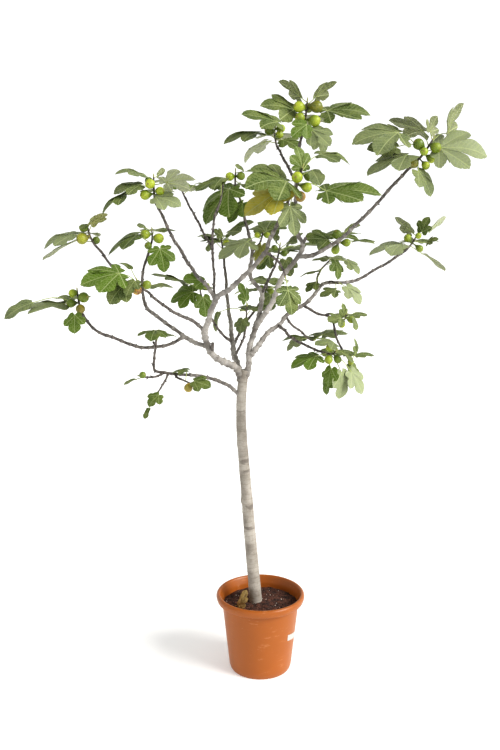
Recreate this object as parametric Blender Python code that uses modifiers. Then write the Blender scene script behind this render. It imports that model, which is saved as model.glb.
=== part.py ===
"""A common fig tree grown on one bare trunk, with an open crown, in a round plastic pot.

Metres, +Z up. The origin is on the floor under the middle of the pot, and the front is at -Y.
Each leafy shoot is one body: its green stem, its figs, its leaf stalks and its lobed blades.
"""

import math
import random

import bmesh
import bpy
from mathutils import Matrix, Vector
from mathutils.bvhtree import BVHTree

CM = 0.01
GAP = 0.0003
SEAM = 0.00002
SLIVER = 0.00005

# The pot, as radii and heights of its turned profile
POT_HEIGHT = 0.309
POT_BASE_RADIUS = 0.118
POT_FOOT_RADIUS = 0.123
POT_FOOT_HEIGHT = 0.012
POT_NECK_RADIUS = 0.152
POT_LIP_RADIUS = 0.175
POT_LIP_DEPTH = 0.030
POT_CREST_RADIUS = 0.162
POT_MOUTH_RADIUS = 0.158
POT_WALL = 0.003
POT_FLOOR = 0.004
POT_SIDES = 32
DRAIN_HOLES = 6
DRAIN_RADIUS = 0.006
DRAIN_CIRCLE = 0.085
DRAIN_SIDES = 6

# A blank label on the pot's right front: the angles of its ends and of its folds, which lie on
# the corners of the wall, and the height of its middle at either end
LABEL_TURNS = (-41.0, -33.75, -22.5, -11.25)
LABEL_HEIGHTS = (0.160, 0.145)
LABEL_TALL = 0.025
LABEL_THICK = 0.0006

# The soil and the hole that the trunk stands in
SOIL_EDGE_HEIGHT = 0.262
SOIL_MOUND = 0.010
SOIL_BUMP = 0.0022
SOIL_SIDES = 24
HOLE_SIDES = 24
HOLE_RADIUS = 0.0262
TRUNK_FOOT = (-0.006, 0.0, 0.1205)
TRUNK_COLLAR = (-0.0185, 0.0, 0.285)
TRUNK_FOOT_RADIUS = 0.0245

# The wood: the radius where a branch leaves its parent, the radius at its end, and the points
# along it. A branch starts on its parent's middle line, and a leafy shoot of the same name
# carries on from its end.
TRUNK = (
    TRUNK_FOOT, TRUNK_COLLAR, (-0.036, 0.002, 0.484), (-0.052, 0.000, 0.688),
    (-0.068, -0.003, 0.888), (-0.075, 0.000, 1.010), (-0.072, 0.000, 1.120),
    (-0.062, 0.000, 1.200),
)
TRUNK_TOP_RADIUS = 0.0175
TRUNK_SIDES = 10
BRANCH_SIDES = 6
BRANCHES = {
    "centre_front": (0.0130, 0.0048, (
        (-0.070, 0.000, 1.150), (-0.088, -0.010, 1.205), (-0.120, -0.030, 1.228),
        (-0.168, -0.060, 1.256), (-0.198, -0.080, 1.310), (-0.204, -0.110, 1.350),
        (-0.192, -0.140, 1.392), (-0.157, -0.170, 1.485), (-0.106, -0.190, 1.520),
        (-0.030, -0.220, 1.594), (0.010, -0.250, 1.645), (0.031, -0.280, 1.700),
        (0.070, -0.305, 1.775), (0.086, -0.325, 1.820))),
    "left_upper": (0.0066, 0.0044, (
        (-0.160, -0.165, 1.478), (-0.190, -0.160, 1.522), (-0.235, -0.150, 1.570),
        (-0.290, -0.130, 1.655), (-0.314, -0.120, 1.690), (-0.348, -0.110, 1.765),
        (-0.372, -0.102, 1.812))),
    "left_mid": (0.0078, 0.0044, (
        (-0.195, -0.078, 1.300), (-0.250, -0.050, 1.313), (-0.325, -0.020, 1.358),
        (-0.390, 0.000, 1.405), (-0.424, 0.010, 1.430), (-0.440, 0.030, 1.470), (-0.446, 0.050, 1.530),
        (-0.440, 0.065, 1.580), (-0.425, 0.080, 1.630))),
    "left_far": (0.0050, 0.0042, (
        (-0.442, 0.036, 1.485), (-0.503, 0.000, 1.535), (-0.556, -0.020, 1.600),
        (-0.582, -0.030, 1.640), (-0.600, -0.040, 1.662))),
    "left_low": (0.0062, 0.0044, (
        (-0.283, -0.037, 1.332), (-0.326, -0.060, 1.310), (-0.380, -0.090, 1.299),
        (-0.442, -0.130, 1.306), (-0.511, -0.180, 1.340), (-0.565, -0.210, 1.367),
        (-0.600, -0.232, 1.406), (-0.614, -0.243, 1.434))),
    "left_front": (0.0062, 0.0044, (
        (-0.202, -0.118, 1.362), (-0.248, -0.145, 1.402), (-0.309, -0.180, 1.436),
        (-0.360, -0.225, 1.479), (-0.382, -0.262, 1.508))),
    "lowest": (0.0070, 0.0040, (
        (-0.073, 0.000, 1.095), (-0.105, -0.012, 1.130), (-0.141, -0.030, 1.155),
        (-0.220, -0.050, 1.185), (-0.330, -0.080, 1.200), (-0.382, -0.100, 1.212),
        (-0.389, -0.120, 1.230), (-0.383, -0.150, 1.267), (-0.374, -0.172, 1.310))),
    "lowest_left": (0.0040, 0.0034, (
        (-0.352, -0.089, 1.205), (-0.383, -0.140, 1.198), (-0.408, -0.182, 1.204))),
    "lowest_down": (0.0040, 0.0034, (
        (-0.340, -0.083, 1.202), (-0.350, -0.125, 1.178), (-0.360, -0.160, 1.162))),
    "lowest_right": (0.0040, 0.0034, (
        (-0.318, -0.077, 1.198), (-0.305, -0.100, 1.188), (-0.285, -0.106, 1.180))),
    "inner_back": (0.0082, 0.0044, (
        (-0.072, 0.002, 1.165), (-0.092, 0.050, 1.222), (-0.105, 0.110, 1.254), (-0.116, 0.210, 1.327),
        (-0.130, 0.270, 1.420), (-0.140, 0.312, 1.520), (-0.148, 0.338, 1.610))),
    "inner_left": (0.0050, 0.0040, (
        (-0.110, 0.150, 1.283), (-0.160, 0.160, 1.327), (-0.200, 0.160, 1.390), (-0.222, 0.155, 1.438))),
    "inner_mid": (0.0048, 0.0040, (
        (-0.100, 0.080, 1.239), (-0.066, 0.150, 1.300), (-0.056, 0.200, 1.352))),
    "centre": (0.0110, 0.0045, (
        (-0.064, 0.000, 1.165), (-0.046, 0.000, 1.215), (-0.043, 0.020, 1.278), (-0.016, 0.040, 1.375),
        (0.001, 0.068, 1.431), (0.002, 0.090, 1.486), (-0.036, 0.110, 1.534), (-0.040, 0.118, 1.575),
        (-0.033, 0.120, 1.645), (-0.060, 0.110, 1.753), (-0.077, 0.100, 1.828))),
    "centre_left": (0.0046, 0.0040, (
        (-0.164, -0.165, 1.468), (-0.167, -0.140, 1.541), (-0.172, -0.100, 1.600),
        (-0.176, -0.050, 1.665), (-0.176, -0.020, 1.731), (-0.164, 0.000, 1.781),
        (-0.152, 0.015, 1.812))),
    "left_back": (0.0042, 0.0038, (
        (-0.176, -0.058, 1.655), (-0.200, 0.000, 1.690), (-0.228, 0.070, 1.735),
        (-0.270, 0.150, 1.805), (-0.294, 0.205, 1.846))),
    "centre_side": (0.0046, 0.0040, (
        (-0.033, 0.120, 1.638), (-0.020, 0.132, 1.652), (-0.008, 0.136, 1.664))),
    "back_right": (0.0056, 0.0042, (
        (0.002, 0.088, 1.476), (0.026, 0.150, 1.520), (0.050, 0.220, 1.566), (0.066, 0.268, 1.596))),
    "rear_low": (0.0056, 0.0042, (
        (-0.108, 0.135, 1.272), (-0.070, 0.260, 1.330), (-0.020, 0.370, 1.390), (0.012, 0.430, 1.430))),
    "top": (0.0100, 0.0046, (
        (-0.020, 0.037, 1.360), (0.021, 0.032, 1.421), (0.050, 0.030, 1.470), (0.078, 0.035, 1.545),
        (0.122, 0.040, 1.598), (0.148, 0.040, 1.638), (0.153, 0.040, 1.671), (0.136, 0.042, 1.710),
        (0.128, 0.046, 1.800), (0.130, 0.050, 1.900), (0.138, 0.050, 2.000), (0.152, 0.050, 2.084))),
    "top_back": (0.0054, 0.0042, (
        (0.130, 0.050, 1.895), (0.104, 0.150, 1.955), (0.078, 0.260, 2.018), (0.066, 0.315, 2.048))),
    "right_far": (0.0074, 0.0048, (
        (0.138, 0.040, 1.622), (0.183, 0.020, 1.624), (0.223, 0.000, 1.644), (0.299, -0.020, 1.694),
        (0.332, -0.040, 1.730), (0.413, -0.070, 1.813), (0.447, -0.090, 1.858), (0.500, -0.115, 1.916),
        (0.524, -0.130, 1.942))),
    "right_inner": (0.0042, 0.0040, (
        (0.275, -0.014, 1.678), (0.282, 0.020, 1.674), (0.286, 0.046, 1.668))),
    "front_hanging": (0.0040, 0.0034, (
        (0.010, -0.250, 1.645), (0.036, -0.258, 1.630), (0.060, -0.256, 1.606), (0.074, -0.252, 1.578))),
    "right_back": (0.0090, 0.0044, (
        (-0.043, 0.012, 1.250), (-0.018, 0.012, 1.278), (0.010, 0.030, 1.317), (0.035, 0.070, 1.338),
        (0.075, 0.100, 1.364), (0.104, 0.130, 1.397), (0.182, 0.170, 1.439), (0.229, 0.200, 1.491),
        (0.259, 0.230, 1.512), (0.324, 0.270, 1.511), (0.397, 0.300, 1.522), (0.516, 0.335, 1.585),
        (0.600, 0.375, 1.635))),
    "right_hanging": (0.0044, 0.0038, (
        (0.229, 0.200, 1.488), (0.224, 0.206, 1.530), (0.236, 0.206, 1.560))),
    "right_drooping": (0.0042, 0.0036, (
        (0.270, 0.237, 1.512), (0.282, 0.230, 1.518), (0.292, 0.224, 1.516))),
    "drop_end": (0.0050, 0.0036, (
        (0.165, 0.162, 1.430), (0.218, 0.140, 1.401), (0.258, 0.118, 1.392), (0.276, 0.090, 1.380),
        (0.283, 0.060, 1.341), (0.292, 0.038, 1.305), (0.310, 0.018, 1.268))),
    "drop_upper": (0.0040, 0.0036, (
        (0.250, 0.122, 1.394), (0.272, 0.118, 1.400), (0.292, 0.110, 1.392))),
    "low_front": (0.0056, 0.0040, (
        (0.068, 0.095, 1.359), (0.086, 0.040, 1.348), (0.107, -0.020, 1.330), (0.144, -0.070, 1.312),
        (0.190, -0.110, 1.294), (0.216, -0.130, 1.288))),
    "low_back": (0.0044, 0.0038, (
        (0.098, 0.124, 1.390), (0.122, 0.140, 1.355), (0.156, 0.165, 1.328), (0.182, 0.185, 1.303))),
}
STUBS = (
    (0.0060, ((-0.180, -0.068, 1.275), (-0.176, -0.100, 1.315))),
    (0.0056, ((-0.204, -0.110, 1.350), (-0.216, -0.104, 1.368))),
    (0.0052, ((0.002, 0.086, 1.478), (0.014, 0.080, 1.500))),
    (0.0060, ((0.151, 0.040, 1.655), (0.166, 0.034, 1.692))),
    (0.0044, ((-0.380, -0.090, 1.299), (-0.392, -0.100, 1.320))),
)

# Which way a blade's upper face looks
UP = (0.0, 0.0, 1.0)
RISING = (0.0, -1.0, 1.0)
FRONT = (0.0, -1.0, 0.25)
AWAY = (0.0, 0.6, 1.0)
LEFT = (-1.0, -0.5, 0.3)
RIGHT = (1.0, -0.5, 0.3)

# The leafy shoots: the heart is a place in metres, and the rest are centimetres from it. "tip" is
# the stem's end. A fig is its middle and its radius. A leaf is its blade's foot and tip, the way
# that it faces and its number of lobes, from the oldest, lowest leaf up.
SHOOTS = {
    "top": {
        "heart": (0.162, 0.050, 2.133),
        "tip": (0.5, 0.0, 5.0),
        "figs": (
            (-2.5, -2.0, 2.2, 2.0), (-2.2, -2.2, -1.6, 1.8), (3.6, -1.0, 2.4, 2.2),
            (3.0, -1.8, -2.6, 2.1), (1.0, 2.6, 2.6, 1.8),
        ),
        "leaves": (
            ((4.3, 2.0, -6.7), (7.9, 4.0, -12.9), (0.5, -0.85, 0.05), 3),
            ((-0.2, -4.0, -3.6), (-5.7, -7.0, -8.1), (0.1, -0.9, 0.45), 3),
            ((2.7, -4.0, -5.0), (9.8, -9.0, -9.7), (0.0, -0.7, 0.7), 3),
            ((-4.3, 1.5, 1.7), (-16.4, -3.0, 3.1), (0.3, -0.65, 0.7), 3),
            ((6.4, 2.0, 1.4), (22.7, 4.0, 1.3), (0.05, -0.45, 0.9), 5),
            ((1.0, 5.5, 1.0), (3.0, 20.0, 0.0), UP, 5),
            ((2.7, -2.5, 4.5), (10.6, -5.0, 7.9), (-0.25, 0.4, 0.9), 3),
            ((-2.0, 3.0, 6.4), (-9.7, 5.0, 12.4), (0.65, 0.3, 0.7), 3),
        ),
    },
    "top_back": {
        "heart": (0.059, 0.350, 2.087),
        "tip": (0.0, 1.0, 4.0),
        "figs": (
            (-2.2, -1.5, 2.2, 1.9), (1.6, -2.0, 0.6, 1.6), (2.4, 1.0, 3.4, 1.6),
        ),
        "leaves": (
            ((-3.6, 0.0, -1.6), (-12.8, 3.0, -9.1), (-0.6, 0.2, 0.8), 3),
            ((2.4, -1.0, -1.3), (8.5, -6.0, -4.9), (0.0, -0.6, 0.8), 3),
            ((-6.8, -1.0, 1.8), (-20.7, -3.0, -2.3), (-0.25, -0.3, 0.9), 3),
            ((1.0, 5.0, 2.0), (4.0, 20.0, 0.5), UP, 5),
            ((1.1, -2.0, 5.5), (-13.5, -5.0, 7.8), (0.25, -0.45, 0.85), 3),
        ),
    },
    "right_far": {
        "heart": (0.554, -0.150, 1.977),
        "tip": (3.0, -1.0, 5.0),
        "figs": (
            (-2.2, -1.6, 2.7, 1.9), (-0.6, -3.0, 0.2, 1.4), (3.4, -2.2, 1.6, 1.8),
            (-3.4, -0.5, -3.4, 1.7), (2.6, 0.6, -1.8, 1.5), (0.4, -1.4, -4.2, 1.4),
        ),
        "leaves": (
            ((-2.4, -3.0, -6.2), (2.4, -4.0, -14.5), (0.6, -0.65, 0.45), 3),
            ((-6.4, -3.0, -0.9), (-20.1, -6.0, -8.0), (-0.35, -0.4, 0.85), 3),
            ((-7.5, -1.0, 5.2), (-23.4, -3.0, 2.0), (-0.1, -0.55, 0.85), 5),
            ((4.8, -1.0, 2.2), (21.3, -4.0, 2.6), (-0.15, -0.7, 0.7), 5),
            ((-5.8, 2.0, 1.2), (-15.6, 3.0, -0.4), (-0.2, -0.55, 0.8), 3),
            ((0.3, 3.0, 7.6), (-11.5, 7.0, 11.1), (0.35, 0.25, 0.9), 3),
            ((7.7, 3.0, 5.6), (13.5, 6.0, 15.3), (-0.8, 0.5, 0.3), 3),
            ((1.5, -1.5, 6.8), (4.0, 0.0, 12.2), (-0.55, 0.85, 0.0), 3),
        ),
    },
    "right_back": {
        "heart": (0.636, 0.400, 1.671),
        "tip": (2.5, 0.5, 4.5),
        "figs": (
            (2.6, -1.0, -2.6, 1.5), (-2.4, -1.2, 1.6, 1.6), (-3.4, 0.6, -2.4, 1.6),
            (1.8, -1.6, 2.6, 1.3),
        ),
        "leaves": (
            ((-4.7, -1.0, -0.8), (-18.6, -3.0, -4.8), (-0.25, -0.25, 0.95), 3),
            ((5.0, -1.0, -3.5), (16.0, -2.0, -9.0), UP, 1),
            ((2.0, 5.0, 0.5), (7.0, 18.0, 0.0), UP, 5),
            ((5.8, -0.5, -0.4), (9.7, -3.0, 1.7), (-0.6, -0.35, 0.7), 3),
            ((7.2, 3.0, 4.1), (15.0, 5.0, 9.9), (-0.6, 0.45, 0.65), 1),
            ((-0.6, 1.5, 4.1), (-7.6, 3.0, 9.9), (0.65, 0.35, 0.7), 3),
            ((3.0, -1.0, 4.1), (5.5, -2.0, 10.2), (-0.6, -0.8, 0.1), 3),
        ),
    },
    "centre_front": {
        "heart": (0.103, -0.350, 1.843),
        "tip": (2.5, -1.0, 7.5),
        "figs": (
            (0.6, -2.4, 3.8, 1.8), (4.4, 0.4, 4.4, 1.6), (3.6, -1.4, 0.8, 1.6), (1.6, -1.6, -2.0, 1.7),
        ),
        "leaves": (
            ((-1.6, -1.5, -5.3), (0.0, -2.5, -14.5), (0.45, -0.9, 0.2), 5),
            ((-3.2, 0.0, 0.0), (-15.4, -2.0, -8.2), (-0.35, -0.6, 0.7), 3),
            ((-4.4, 2.5, 3.9), (-14.1, 3.5, 7.5), (0.2, -0.65, 0.75), 3),
            ((9.2, -2.0, -2.2), (26.3, -5.0, -6.7), (0.15, -0.4, 0.9), 5),
            ((-1.7, -1.5, 2.1), (-15.6, -8.0, -2.5), (0.0, -0.6, 0.8), 5),
            ((5.2, -2.5, 6.1), (7.3, -8.0, 1.7), (-0.15, -0.65, 0.75), 1),
            ((8.1, 2.5, 11.4), (18.3, 4.0, 9.4), (0.25, -0.35, 0.9), 3),
            ((2.2, -0.5, 6.8), (0.9, 0.5, 13.7), (0.3, -0.95, 0.2), 5),
        ),
    },
    "centre": {
        "heart": (-0.095, 0.090, 1.878),
        "tip": (0.0, 0.0, 6.0),
        "figs": (
            (-2.0, -1.5, 3.6, 1.6), (2.0, -1.2, 3.8, 1.5),
        ),
        "leaves": (
            ((2.8, -3.0, -6.0), (-2.4, -5.0, -13.4), (-0.6, -0.6, 0.55), 3),
            ((-2.4, -2.0, -0.2), (-13.4, -6.0, -11.2), (-0.5, -0.55, 0.7), 5),
            ((2.0, 5.0, 1.0), (7.0, 19.0, 0.5), UP, 5),
            ((3.2, -1.0, 5.6), (-0.1, -3.0, 7.6), (0.65, -0.45, 0.6), 1),
        ),
    },
    "centre_left": {
        "heart": (-0.141, 0.018, 1.870),
        "tip": (0.5, 0.0, 3.0),
        "figs": (),
        "leaves": (
            ((-0.2, -1.0, 3.4), (-9.5, -4.0, -1.7), (-0.35, -0.35, 0.85), 3),
            ((1.0, -2.0, 2.3), (-3.0, -4.0, -1.0), (-0.4, -0.45, 0.8), 1),
        ),
    },
    "left_upper": {
        "heart": (-0.378, -0.100, 1.856),
        "tip": (0.0, 0.0, 4.8),
        "figs": (
            (-2.8, -1.5, -1.7, 1.75), (-0.9, -2.5, 2.0, 1.75), (-1.8, 1.2, 3.2, 1.4),
            (2.2, -1.4, -0.4, 1.5),
        ),
        "leaves": (
            ((1.0, -3.0, -2.2), (10.2, -5.0, -2.9), (-0.05, -0.55, 0.85), 3),
            ((-5.8, -1.5, -2.1), (-12.8, -5.0, -11.4), (-0.6, -0.45, 0.65), 3),
            ((0.0, 5.0, 0.0), (1.0, 16.0, 0.0), UP, 3),
            ((-4.7, -1.0, 1.7), (-13.9, -3.0, -0.8), (-0.15, -0.45, 0.9), 3),
            ((3.9, -3.0, 2.2), (14.1, -5.5, 4.1), (-0.05, 0.5, 0.85), 5),
            ((-3.4, 0.5, 5.2), (-13.1, -2.0, 6.4), (0.15, -0.2, 0.95), 3),
            ((1.0, 1.5, 4.9), (3.5, 5.0, 7.2), (-0.85, 0.4, 0.35), 1),
        ),
    },
    "left_back": {
        "heart": (-0.312, 0.250, 1.882),
        "tip": (-0.5, 1.5, 3.0),
        "figs": (
            (2.2, -0.8, 0.4, 1.5), (-2.2, -0.4, 0.6, 1.3),
        ),
        "leaves": (
            ((4.3, 0.5, 2.7), (9.1, 0.0, 3.1), (-0.1, -0.25, 0.95), 1),
            ((0.5, 5.5, 1.0), (2.5, 19.0, 0.0), UP, 5),
            ((-3.0, 2.5, 3.0), (-13.0, 9.0, 2.0), UP, 3),
        ),
    },
    "left_mid": {
        "heart": (-0.412, 0.100, 1.682),
        "tip": (0.0, 0.0, 4.0),
        "figs": (
            (-2.2, -2.0, 2.1, 1.8), (2.6, -1.4, 0.6, 1.9), (-1.2, -1.8, -2.2, 1.4),
        ),
        "leaves": (
            ((3.3, -3.0, -3.3), (5.2, -5.0, -11.8), (0.25, -0.9, 0.3), 5),
            ((-5.1, -1.0, 2.6), (-17.0, -3.0, -3.7), (-0.4, -0.35, 0.85), 3),
            ((0.5, 3.0, 3.8), (3.0, 15.0, 2.6), UP, 3),
            ((-2.0, -1.5, 4.5), (-5.0, -4.0, 5.5), (0.6, -0.45, 0.65), 1),
        ),
    },
    "left_far": {
        "heart": (-0.617, -0.050, 1.697),
        "tip": (-0.8, 0.0, 3.5),
        "figs": (
            (-2.4, -2.0, -0.9, 2.0), (-2.0, -0.6, 2.8, 1.5), (1.8, 1.2, -1.6, 1.4),
        ),
        "leaves": (
            ((-5.0, 2.0, -1.5), (-17.5, 1.0, -9.0), UP, 1),
            ((-3.7, -1.5, 0.0), (-14.3, -4.0, -3.8), (-0.25, -0.4, 0.9), 3),
            ((-2.0, 5.0, 1.0), (-8.0, 15.0, 0.0), UP, 3),
            ((0.9, -0.5, 4.3), (6.8, -2.5, 8.1), (-0.45, 0.3, 0.85), 3),
            ((0.0, -1.5, 3.9), (-2.7, -4.0, 3.2), (0.2, -0.5, 0.85), 1),
        ),
    },
    "left_low": {
        "heart": (-0.623, -0.250, 1.473),
        "tip": (-0.5, 0.0, 4.5),
        "figs": (
            (1.8, -1.4, 2.0, 1.8), (-1.8, -0.6, 3.4, 1.4), (-2.4, -1.2, 0.0, 1.5),
            (0.8, -2.0, -1.8, 1.6),
        ),
        "leaves": (
            ((0.1, -4.5, -3.0), (0.3, -6.5, -9.1), (-0.2, -0.95, 0.3), 3),
            ((-10.3, -1.0, 0.1), (-23.0, -4.0, -6.7), (-0.25, -0.6, 0.75), 1),
            ((-2.0, 5.0, 1.0), (-8.0, 15.0, 1.0), UP, 3),
            ((-3.9, 1.0, 1.3), (-20.6, 3.0, 0.4), (-0.05, -0.1, 1.0), 3),
        ),
    },
    "left_front": {
        "heart": (-0.407, -0.300, 1.531),
        "tip": (-1.0, -1.0, 2.5),
        "figs": (
            (2.4, -2.0, 0.8, 1.5), (-0.6, -3.2, -0.8, 1.6),
        ),
        "leaves": (
            ((0.4, -3.5, 0.2), (-0.8, -7.0, -4.8), (0.0, -0.8, 0.55), 3),
            ((-2.6, -3.0, 0.8), (-7.1, -6.5, -5.5), (0.0, -0.9, 0.5), 3),
            ((2.0, 4.0, 0.0), (5.5, 15.0, -1.0), UP, 3),
            ((-4.4, -1.5, 3.3), (-16.7, -5.0, -0.4), (-0.1, -0.55, 0.85), 5),
            ((-3.5, 4.0, 5.7), (-8.0, 7.5, 8.0), (0.3, -0.2, 0.95), 1),
        ),
    },
    "inner_left": {
        "heart": (-0.235, 0.150, 1.490),
        "tip": (0.5, 0.0, 3.0),
        "figs": (
            (2.4, -0.8, 1.6, 1.3),
        ),
        "leaves": (
            ((1.2, -1.5, -2.6), (2.4, -3.0, -10.3), (0.45, -0.85, 0.25), 3),
            ((-2.9, 1.0, -0.9), (-12.1, 3.0, -4.6), (-0.4, -0.6, 0.7), 5),
            ((-0.5, 5.0, 0.0), (-4.0, 17.0, 0.0), UP, 3),
            ((-5.0, 0.5, 2.5), (-18.0, 1.0, 5.2), UP, 3),
            ((1.3, -2.0, 3.6), (-6.2, -5.0, 4.5), (0.3, -0.55, 0.8), 3),
        ),
    },
    "inner_back": {
        "heart": (-0.156, 0.350, 1.668),
        "tip": (-0.5, 0.5, 3.5),
        "figs": (
            (1.8, -1.4, 0.0, 1.4),
        ),
        "leaves": (
            ((2.6, -3.0, -0.8), (8.3, -6.0, -5.5), (0.45, -0.45, 0.8), 3),
            ((-3.1, -4.0, 1.2), (-5.3, -8.0, -3.5), (-0.35, -0.6, 0.7), 1),
            ((0.0, 5.5, 1.0), (-2.0, 20.0, 0.0), UP, 5),
            ((-2.0, 3.5, 2.5), (-7.0, 13.0, 1.0), UP, 3),
            ((3.0, -2.5, 4.4), (13.1, -5.0, 8.4), (-0.4, -0.3, 0.85), 3),
            ((0.1, -2.0, 2.8), (-3.4, -4.0, 5.2), (0.65, -0.7, 0.35), 3),
        ),
    },
    "inner_mid": {
        "heart": (-0.055, 0.220, 1.400),
        "tip": (0.3, 0.3, 2.5),
        "figs": (),
        "leaves": (
            ((-1.4, -4.0, -2.7), (-2.5, -7.0, -7.9), (-0.4, -0.75, 0.5), 3),
            ((1.7, 4.8, 0.3), (6.2, 16.8, 0.6), UP, 3),
            ((-11.0, 0.5, -0.3), (-12.6, 0.0, -8.3), (-0.85, -0.5, 0.2), 1),
            ((-0.2, -1.5, 4.6), (-3.3, -3.5, 11.5), (0.8, -0.6, 0.2), 3),
        ),
    },
    "centre_side": {
        "heart": (0.004, 0.138, 1.690),
        "tip": (0.5, 0.0, 2.5),
        "figs": (
            (-1.6, -1.2, 1.0, 1.2), (2.0, -0.8, 1.0, 1.2),
        ),
        "leaves": (
            ((-0.3, -3.5, -2.7), (-1.1, -6.0, -9.7), (-0.75, -0.6, 0.3), 3),
            ((-4.5, -5.5, -1.2), (-15.0, -9.0, -7.8), (-0.35, -0.45, 0.8), 5),
            ((1.5, 4.0, 2.5), (4.0, 16.0, 6.0), UP, 3),
            ((1.6, -1.0, 2.2), (-1.5, -2.0, 5.9), (0.7, -0.6, 0.4), 1),
        ),
    },
    "back_right": {
        "heart": (0.076, 0.300, 1.633),
        "tip": (0.5, 0.8, 3.0),
        "figs": (
            (-1.8, -1.0, 1.5, 1.3), (2.0, -1.2, -0.6, 1.3),
        ),
        "leaves": (
            ((2.0, -3.0, -3.0), (4.0, -5.0, -9.5), FRONT, 3),
            ((-2.5, -3.0, -2.0), (-6.0, -5.0, -8.5), FRONT, 3),
            ((1.0, 5.5, 0.5), (3.0, 20.0, 0.5), UP, 5),
            ((5.0, 2.5, 1.0), (17.0, 8.0, 0.5), UP, 5),
            ((3.6, -1.0, 3.6), (9.8, -3.0, 7.1), (-0.55, -0.3, 0.8), 3),
            ((-1.7, -1.5, 4.7), (-0.2, -4.0, 9.9), (-0.9, -0.45, 0.0), 3),
        ),
    },
    "rear_low": {
        "heart": (0.030, 0.470, 1.470),
        "tip": (0.5, 1.5, 2.5),
        "figs": (
            (-2.0, -0.6, 0.4, 1.5), (1.8, -0.6, -0.8, 1.4),
        ),
        "leaves": (
            ((0.5, -3.5, -2.5), (-1.0, -6.0, -9.5), FRONT, 3),
            ((-3.5, 3.0, 0.0), (-10.0, 14.0, -3.0), UP, 5),
            ((3.5, 3.0, 1.0), (10.5, 14.0, -1.5), UP, 5),
            ((0.5, 6.0, 1.5), (1.5, 21.0, -1.0), UP, 5),
        ),
    },
    "front_hanging": {
        "heart": (0.081, -0.250, 1.552),
        "tip": (0.2, -0.3, -0.5),
        "figs": (),
        "leaves": (
            ((0.6, -1.8, -3.4), (2.0, -3.0, -11.7), (0.45, -0.85, 0.2), 5),
        ),
    },
    "right_inner": {
        "heart": (0.293, 0.082, 1.672),
        "tip": (0.3, 1.5, 1.5),
        "figs": (
            (-0.8, -1.0, 3.0, 1.8), (-1.2, -0.8, -2.6, 1.6), (2.8, -0.4, 0.0, 1.5),
        ),
        "leaves": (
            ((-4.0, -0.5, 1.0), (-13.0, -3.0, 1.5), RISING, 3),
            ((4.5, 2.0, 0.5), (13.0, 8.0, -0.5), UP, 3),
            ((1.0, 6.0, 1.5), (3.0, 19.0, 1.5), UP, 5),
            ((2.5, 1.0, 4.0), (8.0, 2.5, 7.0), AWAY, 3),
        ),
    },
    "right_hanging": {
        "heart": (0.262, 0.202, 1.592),
        "tip": (1.0, 0.0, 1.0),
        "figs": (),
        "leaves": (
            ((-4.0, -1.0, -3.0), (-11.0, -1.0, -5.5), UP, 3),
            ((-4.5, -3.0, -7.7), (-8.5, -5.0, -11.0), (-0.4, -0.55, 0.75), 3),
            ((3.2, -2.5, 0.5), (4.0, -4.0, -6.4), (0.7, -0.65, 0.2), 3),
            ((5.5, 0.5, 0.4), (10.2, -1.0, -4.3), (0.5, -0.55, 0.7), 3),
            ((1.5, 5.0, 1.5), (5.0, 18.0, 1.0), UP, 5),
        ),
    },
    "right_drooping": {
        "heart": (0.306, 0.216, 1.512),
        "tip": (0.8, -0.3, 0.0),
        "figs": (),
        "leaves": (
            ((-0.9, -3.5, -2.4), (-7.4, -6.5, -5.0), (-0.15, -0.45, 0.9), 3),
            ((3.6, -2.0, -1.4), (9.0, -4.0, -7.9), (0.5, -0.65, 0.6), 3),
        ),
    },
    "drop_upper": {
        "heart": (0.321, 0.100, 1.378),
        "tip": (1.0, 0.0, 2.5),
        "figs": (
            (-1.0, -1.6, -1.4, 1.4), (2.6, -0.8, 0.2, 1.4),
        ),
        "leaves": (
            ((-1.6, -4.0, 1.2), (-6.9, -7.5, 0.0), (0.2, -0.55, 0.8), 3),
            ((2.1, -1.5, 0.9), (3.3, -2.0, -4.0), (0.8, -0.6, 0.25), 1),
            ((2.0, 4.0, 1.0), (6.0, 16.0, 0.5), UP, 3),
            ((0.1, 1.0, 1.4), (-0.3, 1.5, 6.4), (0.7, -0.7, 0.15), 3),
        ),
    },
    "drop_end": {
        "heart": (0.333, -0.004, 1.240),
        "tip": (1.0, -0.5, -0.5),
        "figs": (
            (0.2, -1.8, -0.6, 1.2),
        ),
        "leaves": (
            ((0.8, -1.0, -2.3), (1.6, -2.0, -9.7), (0.7, -0.7, 0.15), 3),
            ((2.0, 3.5, 1.0), (7.0, 14.0, 0.0), UP, 3),
            ((2.4, 0.5, 2.4), (2.0, 1.0, 8.0), (0.9, -0.4, 0.1), 3),
        ),
    },
    "low_front": {
        "heart": (0.252, -0.150, 1.282),
        "tip": (1.5, -0.5, 1.5),
        "figs": (
            (-1.0, -1.6, 2.4, 1.4), (-1.4, -2.2, -1.6, 1.5), (1.8, -1.6, -1.6, 1.4),
        ),
        "leaves": (
            ((-0.4, -4.2, -3.6), (-1.5, -6.0, -9.7), (-0.65, -0.7, 0.3), 3),
            ((-5.9, -2.0, -0.4), (-14.9, -5.0, -4.2), (-0.25, -0.35, 0.9), 5),
            ((-0.7, -0.5, -7.5), (-2.1, -1.5, -14.5), (-0.9, -0.4, 0.25), 3),
            ((2.7, -2.0, -4.7), (3.1, -3.0, -14.2), (0.65, -0.75, 0.1), 3),
            ((4.7, 0.5, -4.4), (8.8, 0.0, -12.3), (0.65, -0.65, 0.4), 3),
            ((1.0, 5.0, -0.5), (2.0, 17.0, -1.0), UP, 3),
            ((3.3, -1.5, 1.0), (7.0, -4.0, -2.2), (0.45, -0.35, 0.8), 1),
            ((0.5, -1.0, 4.2), (-6.6, -5.0, 4.0), (0.15, -0.3, 0.95), 3),
        ),
    },
    "low_back": {
        "heart": (0.205, 0.200, 1.285),
        "tip": (1.0, 0.5, 0.0),
        "figs": (),
        "leaves": (
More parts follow.
